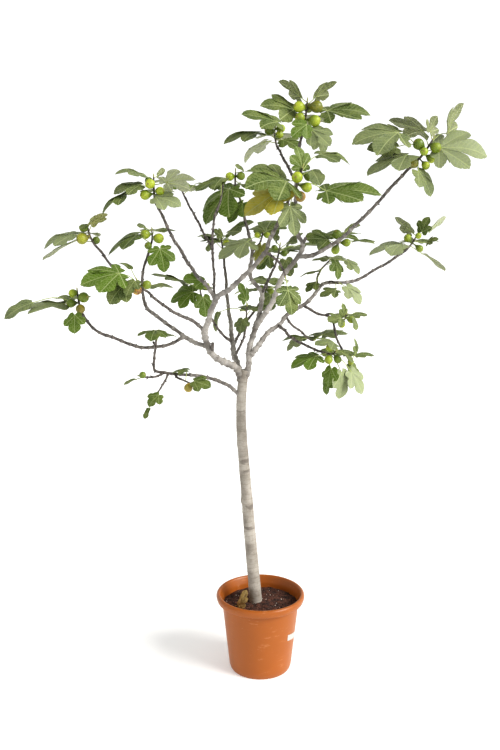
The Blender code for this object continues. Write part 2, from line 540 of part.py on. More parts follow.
            ((-5.1, -1.5, 0.8), (-9.9, -2.5, -3.9), (-0.6, -0.4, 0.7), 3),
            ((-1.5, 4.5, 0.5), (-7.0, 16.0, -1.0), UP, 5),
            ((4.0, 3.5, 1.0), (12.0, 13.0, 0.0), UP, 5),
        ),
    },
    "lowest": {
        "heart": (-0.371, -0.186, 1.345),
        "tip": (0.2, -0.4, 1.0),
        "figs": (),
        "leaves": (
            ((0.5, 3.0, 0.5), (2.5, 13.0, -1.0), UP, 3),
            ((0.0, -2.5, 3.0), (-0.5, -11.0, 0.6), UP, 5),
        ),
    },
    "lowest_left": {
        "heart": (-0.424, -0.210, 1.212),
        "tip": (-0.6, -1.0, 0.4),
        "figs": (
            (0.8, -1.8, 0.8, 1.2),
        ),
        "leaves": (
            ((-1.4, -2.0, -0.6), (-5.4, -4.0, -2.3), (-0.3, -0.2, 0.95), 1),
        ),
    },
    "lowest_down": {
        "heart": (-0.368, -0.188, 1.150),
        "tip": (-0.4, -1.2, -1.2),
        "figs": (),
        "leaves": (
            ((-2.9, -2.8, -5.0), (-4.2, -4.5, -8.6), (-0.55, -0.7, 0.5), 1),
            ((0.8, -3.8, -0.1), (-2.8, -6.0, -3.6), (-0.2, -0.7, 0.65), 3),
        ),
    },
    "lowest_right": {
        "heart": (-0.264, -0.112, 1.172),
        "tip": (1.2, -0.2, -0.4),
        "figs": (
            (0.0, -1.4, -1.6, 1.6),
        ),
        "leaves": (
            ((-0.7, 1.5, 4.4), (-6.2, 2.0, 3.2), (-0.2, -0.15, 0.95), 3),
            ((2.1, -2.0, 0.9), (8.3, -4.0, -0.9), (0.05, -0.6, 0.8), 3),
        ),
    },
}

# The shoot's stem, its stalks and the fig's shape
STEM_SIDES = 6
STEM_STRAIGHT = 0.006
STEM_TIP_RADIUS = 0.0022
STALK_RADIUS = 0.0014
STALK_LIFT = 0.12
LONG_STALK = 0.075
FIG_SEGMENTS = 6
FIG_RINGS = 3
FIG_NECK_WIDTH = 0.78
FIG_LENGTH = 1.15

# The blade, in lengths of its midrib. A lobe is its angle from the midrib, its length, and the
# corners of its end as shares of that length and distances aside.
BLADE_THICKNESS = 0.0008
BLADE_ARCH = 0.09
BLADE_HANG = 0.26
POINTED = ((1.0, 0.0),)
BROAD = ((0.90, -0.16), (0.90, 0.16))
SHOULDERED = ((0.75, -0.21), (1.0, 0.0), (0.75, 0.21))
LOBES = {
    5: ((-90, 0.52, POINTED), (-43, 0.82, BROAD), (0, 1.0, SHOULDERED), (43, 0.82, BROAD),
        (90, 0.52, POINTED)),
    3: ((-46, 0.74, POINTED), (0, 1.0, SHOULDERED), (46, 0.74, POINTED)),
    1: ((0, 1.0, ((0.55, -0.25), (1.0, 0.0), (0.55, 0.25))),),
}
SINUS = {5: 0.40, 3: 0.50, 1: 0.0}
BLADE_BASE = {5: (142, 0.26), 3: (112, 0.36), 1: (80, 0.26)}
LOBE_SPREAD = 0.07

# How far blades and stalks stay clear of other pieces, and the turns tried to get there
CLEARANCE = 0.0009
TURN_STEPS = (6, 12, 18, 25, 32, 40)
TURN_WAYS = ((1, 0), (-1, 0), (0, 1), (0, -1), (1, 1), (-1, 1), (1, -1), (-1, -1))
STALK_REACHES = (1.0, 1.25, 1.5)

COLOURS = {
    "terracotta_plastic": ((0.58, 0.155, 0.028, 1.0), 0.45),
    "label_paper": ((0.85, 0.85, 0.83, 1.0), 0.60),
    "potting_soil": ((0.055, 0.022, 0.013, 1.0), 0.95),
    "fig_bark": ((0.37, 0.32, 0.25, 1.0), 0.85),
    "fig_leaf": ((0.16, 0.25, 0.07, 1.0), 0.60),
}


def clear_scene():
    for obj in list(bpy.data.objects):
        bpy.data.objects.remove(obj, do_unlink=True)


def new_collection(name):
    collection = bpy.data.collections.new(name)
    bpy.context.scene.collection.children.link(collection)
    return collection


def material(name):
    colour, roughness = COLOURS[name]
    made = bpy.data.materials.get(name) or bpy.data.materials.new(name)
    made.use_nodes = True
    shader = made.node_tree.nodes["Principled BSDF"]
    shader.inputs["Base Color"].default_value = colour
    shader.inputs["Roughness"].default_value = roughness
    return made


def object_from(bm, name, collection):
    mesh = bpy.data.meshes.new(name)
    bm.to_mesh(mesh)
    bm.free()
    obj = bpy.data.objects.new(name, mesh)
    collection.objects.link(obj)
    return obj


def baked(obj, collection, merge=SEAM):
    """A plain mesh object in place of a curve or of an object with modifiers."""
    bpy.context.view_layer.update()
    graph = bpy.context.evaluated_depsgraph_get()
    mesh = bpy.data.meshes.new_from_object(obj.evaluated_get(graph))
    mesh.transform(obj.matrix_world)
    bm = bmesh.new()
    bm.from_mesh(mesh)
    bpy.data.meshes.remove(mesh)
    bmesh.ops.remove_doubles(bm, verts=bm.verts, dist=merge)
    bmesh.ops.dissolve_degenerate(bm, edges=bm.edges, dist=merge)
    name = obj.name
    bpy.data.objects.remove(obj, do_unlink=True)
    return object_from(bm, name, collection)


def tube(name, points, radii, sides, collection):
    """A closed tube through the points, each with its own radius."""
    curve = bpy.data.curves.new(name, "CURVE")
    curve.dimensions = "3D"
    curve.bevel_depth = 1.0
    curve.bevel_resolution = sides // 2 - 2
    curve.use_fill_caps = True
    spline = curve.splines.new("POLY")
    spline.points.add(len(points) - 1)
    for knot, point, radius in zip(spline.points, points, radii):
        knot.co = (*point, 1.0)
        knot.radius = radius
    obj = bpy.data.objects.new(name, curve)
    collection.objects.link(obj)
    return baked(obj, collection)


def turned(name, profile, sides, collection):
    """A solid of revolution about Z, from a profile of (radius, height) that ends on the axis."""
    bm = bmesh.new()
    verts = [bm.verts.new((radius, 0.0, height)) for radius, height in profile]
    for first, second in zip(verts, verts[1:]):
        bm.edges.new((first, second))
    obj = object_from(bm, name, collection)
    screw = obj.modifiers.new("turn", "SCREW")
    screw.steps = sides
    screw.render_steps = sides
    screw.use_merge_vertices = True
    screw.merge_threshold = 0.00005
    return obj


def looking_along(axis, place):
    """The matrix that turns +Z to the axis and moves the origin to the place."""
    return Matrix.Translation(place) @ axis.to_track_quat("Z", "Y").to_matrix().to_4x4()


def cylinder(name, radius, low, high, sides, collection):
    """A cylinder between two points."""
    axis = Vector(high) - Vector(low)
    bm = bmesh.new()
    bmesh.ops.create_cone(
        bm, cap_ends=True, segments=sides, radius1=radius, radius2=radius, depth=axis.length)
    obj = object_from(bm, name, collection)
    obj.matrix_world = looking_along(axis, (Vector(low) + Vector(high)) / 2)
    obj.hide_render = True
    obj.display_type = "WIRE"
    return obj


def cut(obj, name, operand, is_collection=False):
    boolean = obj.modifiers.new(name, "BOOLEAN")
    boolean.operation = "DIFFERENCE"
    boolean.solver = "EXACT"
    if is_collection:
        boolean.operand_type = "COLLECTION"
        boolean.collection = operand
    else:
        boolean.object = operand


def united(obj, others, collection):
    """One body made of an object and of all those in a collection, which goes afterwards."""
    boolean = obj.modifiers.new("fuse", "BOOLEAN")
    boolean.operation = "UNION"
    boolean.operand_type = "COLLECTION"
    boolean.collection = others
    boolean.solver = "EXACT"
    whole = baked(obj, collection, SLIVER)
    for other in list(others.objects):
        bpy.data.objects.remove(other, do_unlink=True)
    bpy.data.collections.remove(others)
    return whole


def finish(obj, colour, smooth=True):
    obj.data.materials.clear()
    obj.data.materials.append(material(colour))
    if smooth:
        obj.data.shade_smooth()
        obj.data.set_sharp_from_angle(angle=math.radians(35))


def wall_radius(height):
    """The outside of the pot's wall between its foot and its lip."""
    share = (height - POT_FOOT_HEIGHT) / (POT_HEIGHT - POT_LIP_DEPTH - POT_FOOT_HEIGHT)
    return POT_FOOT_RADIUS + share * (POT_NECK_RADIUS - POT_FOOT_RADIUS)


def pot_profile():
    """The inside from the middle of the floor up, over the rolled lip, and down the outside."""
    lip_bottom = POT_HEIGHT - POT_LIP_DEPTH
    inside_foot = wall_radius(POT_FOOT_HEIGHT) - POT_WALL
    return (
        (0.0, POT_FLOOR),
        (inside_foot - 0.004, POT_FLOOR),
        (inside_foot, POT_FOOT_HEIGHT),
        (POT_NECK_RADIUS - POT_WALL, lip_bottom),
        (POT_MOUTH_RADIUS, POT_HEIGHT - 0.006),
        (POT_CREST_RADIUS, POT_HEIGHT),
        (POT_LIP_RADIUS - 0.005, POT_HEIGHT - 0.002),
        (POT_LIP_RADIUS, POT_HEIGHT - 0.008),
        (POT_LIP_RADIUS - 0.005, lip_bottom),
        (POT_NECK_RADIUS, lip_bottom - 0.001),
        (POT_FOOT_RADIUS, POT_FOOT_HEIGHT),
        (POT_BASE_RADIUS + 0.001, 0.002),
        (POT_BASE_RADIUS, 0.0),
        (0.0, 0.0),
    )


def make_pot(parts, cutters):
    pot = turned("pot", pot_profile(), POT_SIDES, parts)
    for index in range(DRAIN_HOLES):
        angle = 2 * math.pi * index / DRAIN_HOLES
        x, y = DRAIN_CIRCLE * math.cos(angle), DRAIN_CIRCLE * math.sin(angle)
        low, high = (x, y, -0.01), (x, y, POT_FLOOR + 0.01)
        cylinder(f"drain_cutter_{index}", DRAIN_RADIUS, low, high, DRAIN_SIDES, cutters)
    cut(pot, "drain_holes", cutters, is_collection=True)
    finish(pot, "terracotta_plastic")


def on_wall(turn, height, lift):
    """A point over the flat of the pot's wall at this angle."""
    flat = 360 / POT_SIDES
    middle = (math.floor(turn / flat) + 0.5) * flat
    radius = wall_radius(height) * math.cos(math.radians(flat / 2)) + lift
    radius /= math.cos(math.radians(turn - middle))
    angle = math.radians(turn)
    return Vector((radius * math.cos(angle), radius * math.sin(angle), height))


def make_label(parts):
    """A small blank strip that follows the flats of the pot's wall."""
    whole = LABEL_TURNS[-1] - LABEL_TURNS[0]
    bm = bmesh.new()
    sections = []
    for turn in LABEL_TURNS:
        share = (turn - LABEL_TURNS[0]) / whole
        middle = LABEL_HEIGHTS[0] + share * (LABEL_HEIGHTS[1] - LABEL_HEIGHTS[0])
        low, high = middle - LABEL_TALL / 2, middle + LABEL_TALL / 2
        corners = ((low, GAP), (low, GAP + LABEL_THICK), (high, GAP + LABEL_THICK), (high, GAP))
        sections.append([bm.verts.new(on_wall(turn, height, lift)) for height, lift in corners])
    for one, other in zip(sections, sections[1:]):
        for k in range(4):
            bm.faces.new((one[k], other[k], other[k - 3], one[k - 3]))
    bm.faces.new(sections[0])
    bm.faces.new(sections[-1][::-1])
    bmesh.ops.triangulate(bm, faces=bm.faces)
    bmesh.ops.recalc_face_normals(bm, faces=bm.faces)
    finish(object_from(bm, "label", parts), "label_paper", smooth=False)


def make_soil(parts, cutters):
    """The pot's filling, mounded to the middle and lumpy on top, with a plain hole for the trunk."""
    clear = GAP / math.cos(math.pi / SOIL_SIDES)
    top = wall_radius(SOIL_EDGE_HEIGHT) * math.cos(math.pi / POT_SIDES) - POT_WALL - clear
    foot = (POT_FOOT_RADIUS - POT_WALL) * math.cos(math.pi / POT_SIDES) - clear
    profile = [(0.0, SOIL_EDGE_HEIGHT + SOIL_MOUND)]
    for share in (0.3, 0.55, 0.8, 0.95):
        profile.append((top * share, SOIL_EDGE_HEIGHT + SOIL_MOUND * math.cos(share * math.pi / 2)))
    profile += [(top, SOIL_EDGE_HEIGHT), (foot, POT_FOOT_HEIGHT)]
    profile += [(foot - 0.006, POT_FLOOR + GAP), (0.0, POT_FLOOR + GAP)]
    soil = baked(turned("soil", profile, SOIL_SIDES, parts), parts)
    for vert in soil.data.vertices:
        if vert.co.z > SOIL_EDGE_HEIGHT + 0.001:
            vert.co.z += SOIL_BUMP * math.sin(71 * vert.co.x + 1.3) * math.cos(63 * vert.co.y + 0.4)
    down = Vector(TRUNK_COLLAR) - Vector(TRUNK_FOOT)
    hole = cylinder(
        "trunk_hole_cutter", HOLE_RADIUS, Vector(TRUNK_FOOT) - GAP * down.normalized(),
        Vector(TRUNK_COLLAR) + 0.2 * down, HOLE_SIDES, cutters)
    cut(soil, "trunk_hole", hole)
    finish(soil, "potting_soil")


def tapered(points, start, end):
    """A radius for each point, which falls evenly along the length."""
    lengths = [0.0]
    for first, second in zip(points, points[1:]):
        lengths.append(lengths[-1] + (Vector(second) - Vector(first)).length)
    return [start + (end - start) * length / lengths[-1] for length in lengths]


def make_wood(parts):
    """The trunk, limbs, branches, twigs and pruned stubs, grown together as one body."""
    limbs = new_collection("limbs")
    radii = tapered(TRUNK[1:], TRUNK_FOOT_RADIUS, TRUNK_TOP_RADIUS)
    trunk = tube("trunk_and_branches", TRUNK, [TRUNK_FOOT_RADIUS] + radii, TRUNK_SIDES, parts)
    for name, (start, end, points) in BRANCHES.items():
        tube(f"branch_{name}", points, tapered(points, start, end), BRANCH_SIDES, limbs)
    for index, (radius, points) in enumerate(STUBS):
        tube(f"stub_{index}", points, [radius, radius * 0.85], BRANCH_SIDES, limbs)
    wood = united(trunk, limbs, parts)
    finish(wood, "fig_bark")
    return wood


def stem_points(name):
    """The shoot's stem: straight on from the branch's end, through the heart, to the tip."""
    last, end = (Vector(point) for point in BRANCHES[name][2][-2:])
    ahead = (end - last).normalized()
    heart = Vector(SHOOTS[name]["heart"])
    tip = heart + Vector(SHOOTS[name]["tip"]) * CM
    return [end + GAP * ahead, end + STEM_STRAIGHT * ahead, heart, tip]


def stem_at(points, share):
    """A point on the stem between its straight foot and its tip, by its share of that length."""
    _, foot, heart, tip = points
    lower, upper = (heart - foot).length, (tip - heart).length
    reach = share * (lower + upper)
    if reach < lower:
        return foot.lerp(heart, reach / lower)
    return heart.lerp(tip, (reach - lower) / upper)


def nearest_on_stem(points, target):
    shares = [index / 20 for index in range(2, 19)]
    return min((stem_at(points, share) for share in shares), key=lambda point: (point - target).length)


def fig_solid(name, root, middle, radius, collection):
    """A pear-shaped fig: its neck starts at the root, and its eye is the far end."""
    axis = (middle - root).normalized()
    bm = bmesh.new()
    bmesh.ops.create_uvsphere(bm, u_segments=FIG_SEGMENTS, v_segments=FIG_RINGS, radius=radius)
    for vert in bm.verts:
        share = vert.co.z / radius
        if share < -0.1:
            vert.co.x *= FIG_NECK_WIDTH
            vert.co.y *= FIG_NECK_WIDTH
        vert.co.z *= FIG_LENGTH
    lowest = min(bm.verts, key=lambda vert: vert.co.z)
    lowest.co.z = -(middle - root).length
    bmesh.ops.transform(bm, matrix=looking_along(axis, middle), verts=bm.verts)
    return object_from(bm, name, collection)


def blade_edge(lobes, draw):
    """The blade's edge as (across, along) points, from one side of the foot round to the other."""
    base_angle, base_reach = BLADE_BASE[lobes]
    edge = [(-base_angle, base_reach, 0.0)]
    before = None
    for angle, length, corners in LOBES[lobes]:
        if before is not None:
            edge.append(((before + angle) / 2, SINUS[lobes], 0.0))
        if angle:
            length *= 1 + draw.uniform(-LOBE_SPREAD, LOBE_SPREAD)
        edge += [(angle, length * reach, aside) for reach, aside in corners]
        before = angle
    edge.append((base_angle, base_reach, 0.0))
    points = []
    for angle, reach, aside in edge:
        turn = math.radians(angle)
        across = reach * math.sin(turn) + aside * math.cos(turn)
        along = reach * math.cos(turn) - aside * math.sin(turn)
        points.append((across, along))
    return points


def blade_frame(foot, tip, faces):
    """The midrib's direction, the way across it and the upper face's direction."""
    along = (tip - foot).normalized()
    upper = Vector(faces) - Vector(faces).dot(along) * along
    upper.normalize()
    return along.cross(upper), along, upper


def blade_points(foot, tip, faces, lobes, draw):
    """The foot and the edge in space: the midrib arches up, and the sides hang."""
    side, along, upper = blade_frame(foot, tip, faces)
    length = (tip - foot).length
    points = [foot.copy()]
    for across, reach in blade_edge(lobes, draw):
        lift = 4 * BLADE_ARCH * reach * (1 - reach) - BLADE_HANG * across * across
        points.append(foot + length * (across * side + reach * along + lift * upper))
    return points, upper


def blade_faces(count):
    return [(0, index, index + 1) for index in range(1, count - 1)]


def stalk_points(root, foot):
    """The leaf stalk, from inside the stem to the blade's foot. A long one arches."""
    if (foot - root).length < LONG_STALK:
        return [root, foot]
    return [root, (root + foot) / 2 + Vector((0.0, 0.0, STALK_LIFT * (foot - root).length)), foot]


def section_axes(way, side, upper):
    """Two directions square to a stalk, which turn as little as they can from the blade's."""
    if abs(side.dot(way)) < 0.8:
        first = (side - side.dot(way) * way).normalized()
        return first, first.cross(way)
    second = (upper - upper.dot(way) * way).normalized()
    return way.cross(second), second


def stalk_rings(stalk, along, side, upper):
    """Four corners round each point of the stalk: left, under, right and over."""
    ways = [(after - before).normalized() for before, after in zip(stalk, stalk[1:])] + [along]
    rings = []
    for index, point in enumerate(stalk):
        way = (ways[max(index - 1, 0)] + ways[index]).normalized()
        first, second = section_axes(way, side, upper)
        rings.append([point + STALK_RADIUS * corner for corner in (-first, -second, first, second)])
    return rings


def leaf_solid(name, stalk, blade, frame, collection):
    """One body lofted from the stalk's root to the blade, a fan of triangles alike on both faces."""
    side, along, upper = frame
    bm = bmesh.new()
    corners = stalk_rings(stalk, along, side, upper)
    rings = [[bm.verts.new(corner) for corner in ring] for ring in corners]
    half = BLADE_THICKNESS / 2 * upper
    over = [bm.verts.new(point + half) for point in blade[1:]]
    under = [bm.verts.new(point - half) for point in blade[1:]]
    bm.faces.new(rings[0])
    for ring, after in zip(rings, rings[1:]):
        for corner in range(4):
            bm.faces.new((ring[corner], ring[corner - 1], after[corner - 1], after[corner]))
    left, below, right, above = rings[-1]
    for index in range(len(over) - 1):
        bm.faces.new((above, over[index + 1], over[index]))
        bm.faces.new((below, under[index], under[index + 1]))
        bm.faces.new((over[index], over[index + 1], under[index + 1], under[index]))
    for corner, end in ((left, 0), (right, -1)):
        bm.faces.new((above, corner, over[end]))
        bm.faces.new((corner, below, under[end]))
        bm.faces.new((corner, under[end], over[end]))
    bmesh.ops.triangulate(bm, faces=bm.faces)
    bmesh.ops.recalc_face_normals(bm, faces=bm.faces)
    return object_from(bm, name, collection)


def turns():
    """Longer stalks, then swings and lifts about a stalk's root too, the smallest change first."""
    for reach in STALK_REACHES:
        yield 0, 0, reach
    for step in TURN_STEPS:
        for reach in STALK_REACHES:
            for swing, lift in TURN_WAYS:
                yield swing * step, lift * step, reach


def turned_leaf(root, foot, tip, faces, turn):
    """The leaf's foot, tip and facing after a swing about Z, a lift and a move outward."""
    swing, lift, reach = turn
    level = (tip - root).cross(Vector(UP)).normalized()
    spin = Matrix.Rotation(math.radians(swing), 3, "Z") @ Matrix.Rotation(math.radians(lift), 3, level)
    outward = (reach - 1) * (foot - root)
    foot, tip = (root + spin @ (end - root + outward) for end in (foot, tip))
    return foot, tip, spin @ Vector(faces)


def thick_tree(points, upper):
    """The blade with clearance on both faces, to be tested against what is there already."""
    half = BLADE_THICKNESS / 2 + CLEARANCE
    count = len(points)
    verts = [point + half * upper for point in points] + [point - half * upper for point in points]
    faces = blade_faces(count)
    faces += [tuple(corner + count for corner in reversed(face)) for face in blade_faces(count)]
    for index in range(count):
        after = (index + 1) % count
        faces += [(index, after, after + count), (index, after + count, index + count)]
    return BVHTree.FromPolygons(verts, faces)


def stalk_tree(points, start):
    """The stalk from a share of its length outward, with clearance, as a square tube."""
    half = STALK_RADIUS + CLEARANCE
    knots = [points[0].lerp(points[1], start)] + points[1:]
    axis = (points[-1] - points[0]).normalized()
    first = axis.orthogonal().normalized() * half
    second = axis.cross(first)
    verts = [knot + corner for knot in knots for corner in (first, second, -first, -second)]
    faces = []
    for ring in range(len(knots) - 1):
        for corner in range(4):
            low, high = 4 * ring + corner, 4 * ring + (corner + 1) % 4
            faces += [(low, high, high + 4), (low, high + 4, low + 4)]
    return BVHTree.FromPolygons(verts, faces)


def tree_of(obj):
    points = [vert.co.copy() for vert in obj.data.vertices]
    return BVHTree.FromPolygons(points, [tuple(face.vertices) for face in obj.data.polygons])


def is_clear(trial, obstacles):
    return not any(trial.overlap(obstacle) for obstacle in obstacles)


class Crown:
    """What has been placed so far, so that the next leaf can be turned clear of it."""

    def __init__(self, wood):
        self.wood = tree_of(wood)
        self.stems = {}
        self.fruit = {}
        self.leaves = {name: [] for name in SHOOTS}

    def around(self, name):
        """What a whole stalk stays clear of, and what its outer part and its blade do too."""
        others = [self.wood]
        for other in SHOOTS:
            if other != name:
                others += [self.stems[other]] + self.fruit[other]
                others += [tree for pair in self.leaves[other] for tree in pair]
        own = self.fruit[name] + [blade for blade, _ in self.leaves[name]]
        stalks = [self.stems[name]] + [stalk for _, stalk in self.leaves[name]]
        return others, own, stalks


def placed_leaf(crown, name, index, root):
    """The first turn of a leaf that is clear of the crown: its stalk, blade and directions."""
    foot, tip, faces, lobes = SHOOTS[name]["leaves"][index]
    heart = Vector(SHOOTS[name]["heart"])
    foot, tip = heart + Vector(foot) * CM, heart + Vector(tip) * CM
    others, own, stalks = crown.around(name)
    for turn in turns():
        new_foot, new_tip, new_faces = turned_leaf(root, foot, tip, faces, turn)
        draw = random.Random(f"{name} {index}")
        blade, upper = blade_points(new_foot, new_tip, new_faces, lobes, draw)
        stalk = stalk_points(root, new_foot)
        if not is_clear(thick_tree(blade, upper), others + own + stalks):
            continue
        if is_clear(stalk_tree(stalk, 0.0), others) and is_clear(stalk_tree(stalk, 0.5), own):
            crown.leaves[name].append((thick_tree(blade, upper), stalk_tree(stalk, 0.3)))
            return stalk, blade, blade_frame(new_foot, new_tip, new_faces)
    raise ValueError(f"leaf {index} of {name} finds no clear place")


def make_stems_and_figs(crown, parts):
    """Each shoot's stem with its figs, before any leaf."""
    bunches = {}
    for name, shoot in SHOOTS.items():
        bunch = new_collection(f"bunch_{name}")
        points = stem_points(name)
        start = BRANCHES[name][1]
        radii = [start, start * 0.98, start * 0.85, STEM_TIP_RADIUS]
        stem = tube(f"leafy_shoot_{name}", points, radii, STEM_SIDES, parts)
        crown.stems[name] = tree_of(stem)
        crown.fruit[name] = []
        for index, (x, y, z, radius) in enumerate(shoot["figs"]):
            middle = Vector(shoot["heart"]) + Vector((x, y, z)) * CM
            root = nearest_on_stem(points, middle)
            fig = fig_solid(f"fig_{name}_{index}", root, middle, radius * CM, bunch)
            crown.fruit[name].append(tree_of(fig))
        bunches[name] = stem, bunch
    return bunches


def make_leaves(crown, name, bunch):
    """The shoot's leaves, one above another up the stem."""
    points = stem_points(name)
    count = len(SHOOTS[name]["leaves"])
    for index in range(count):
        root = stem_at(points, 0.15 + 0.75 * index / max(count - 1, 1))
        stalk, blade, frame = placed_leaf(crown, name, index, root)
        leaf_solid(f"leaf_{name}_{index}", stalk, blade, frame, bunch)


def main():
    clear_scene()
    parts = new_collection("potted_fig_tree")
    drains = new_collection("drain_cutters")
    holes = new_collection("hole_cutters")
    make_pot(parts, drains)
    make_label(parts)
    make_soil(parts, holes)
    crown = Crown(make_wood(parts))
    bunches = make_stems_and_figs(crown, parts)
    for name, (stem, bunch) in bunches.items():
        make_leaves(crown, name, bunch)
        finish(united(stem, bunch, parts), "fig_leaf")


main()
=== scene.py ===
"""The looks of the potted fig tree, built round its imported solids.

Metres, +Z up, the front at -Y. The tree's points and the way that its leaves are laid out are the
ones in the part's own source, so each piece here keeps the form of the solid that it replaces.
"""

import math
import random

import bmesh
import bpy
from mathutils import Matrix, Vector, noise


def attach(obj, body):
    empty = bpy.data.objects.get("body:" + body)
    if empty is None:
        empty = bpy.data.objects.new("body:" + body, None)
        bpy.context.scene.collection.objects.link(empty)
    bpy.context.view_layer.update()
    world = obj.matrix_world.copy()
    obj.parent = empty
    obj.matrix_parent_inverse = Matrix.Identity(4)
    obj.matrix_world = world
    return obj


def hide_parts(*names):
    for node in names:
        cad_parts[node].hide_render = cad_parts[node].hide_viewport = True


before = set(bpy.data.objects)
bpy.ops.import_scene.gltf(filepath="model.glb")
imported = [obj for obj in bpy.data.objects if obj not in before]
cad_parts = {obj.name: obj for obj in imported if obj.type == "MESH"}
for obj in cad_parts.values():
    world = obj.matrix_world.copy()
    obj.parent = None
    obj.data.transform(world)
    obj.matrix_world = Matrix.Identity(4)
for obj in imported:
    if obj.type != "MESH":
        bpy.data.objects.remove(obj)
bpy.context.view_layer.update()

GAP = 0.0003
# A tint for a piece whose faces are all alike, and the angle of edges that stay sharp
MIDDLE_TINT = (0.5, 0.0, 0.5)
SHARP_FROM = 50.0

# The photograph's camera
EYE = (-0.041, -3.0, 1.706)
CAMERA_PITCH = 9.94
CAMERA_LENS = 38.75

# The pot, the label and the soil, as in the part
POT_HEIGHT = 0.309
POT_BASE_RADIUS = 0.118
POT_FOOT_RADIUS = 0.123
POT_FOOT_HEIGHT = 0.012
POT_NECK_RADIUS = 0.152
POT_LIP_RADIUS = 0.175
POT_LIP_DEPTH = 0.030
POT_CREST_RADIUS = 0.162
POT_MOUTH_RADIUS = 0.158
POT_WALL = 0.003
POT_FLOOR = 0.004
DRAIN_HOLES = 6
DRAIN_RADIUS = 0.006
DRAIN_CIRCLE = 0.085
LABEL_TURNS = (-41.0, -11.25)
LABEL_HEIGHTS = (0.160, 0.145)
LABEL_TALL = 0.025
LABEL_THICK = 0.0004
SOIL_EDGE_HEIGHT = 0.262
SOIL_MOUND = 0.010
SOIL_BUMP = 0.0022

# The wood's points, as in the part. These tables and the ones of shoots and dry leaves are in mm
TRUNK_FOOT_RADIUS = 0.0245
TRUNK_TOP_RADIUS = 0.0175
TRUNK = (
    (-6, 0, 120.5), (-18.5, 0, 285), (-36, 2, 484), (-52, 0, 688), (-68, -3, 888), (-75, 0, 1010),
    (-72, 0, 1120), (-62, 0, 1200),
)
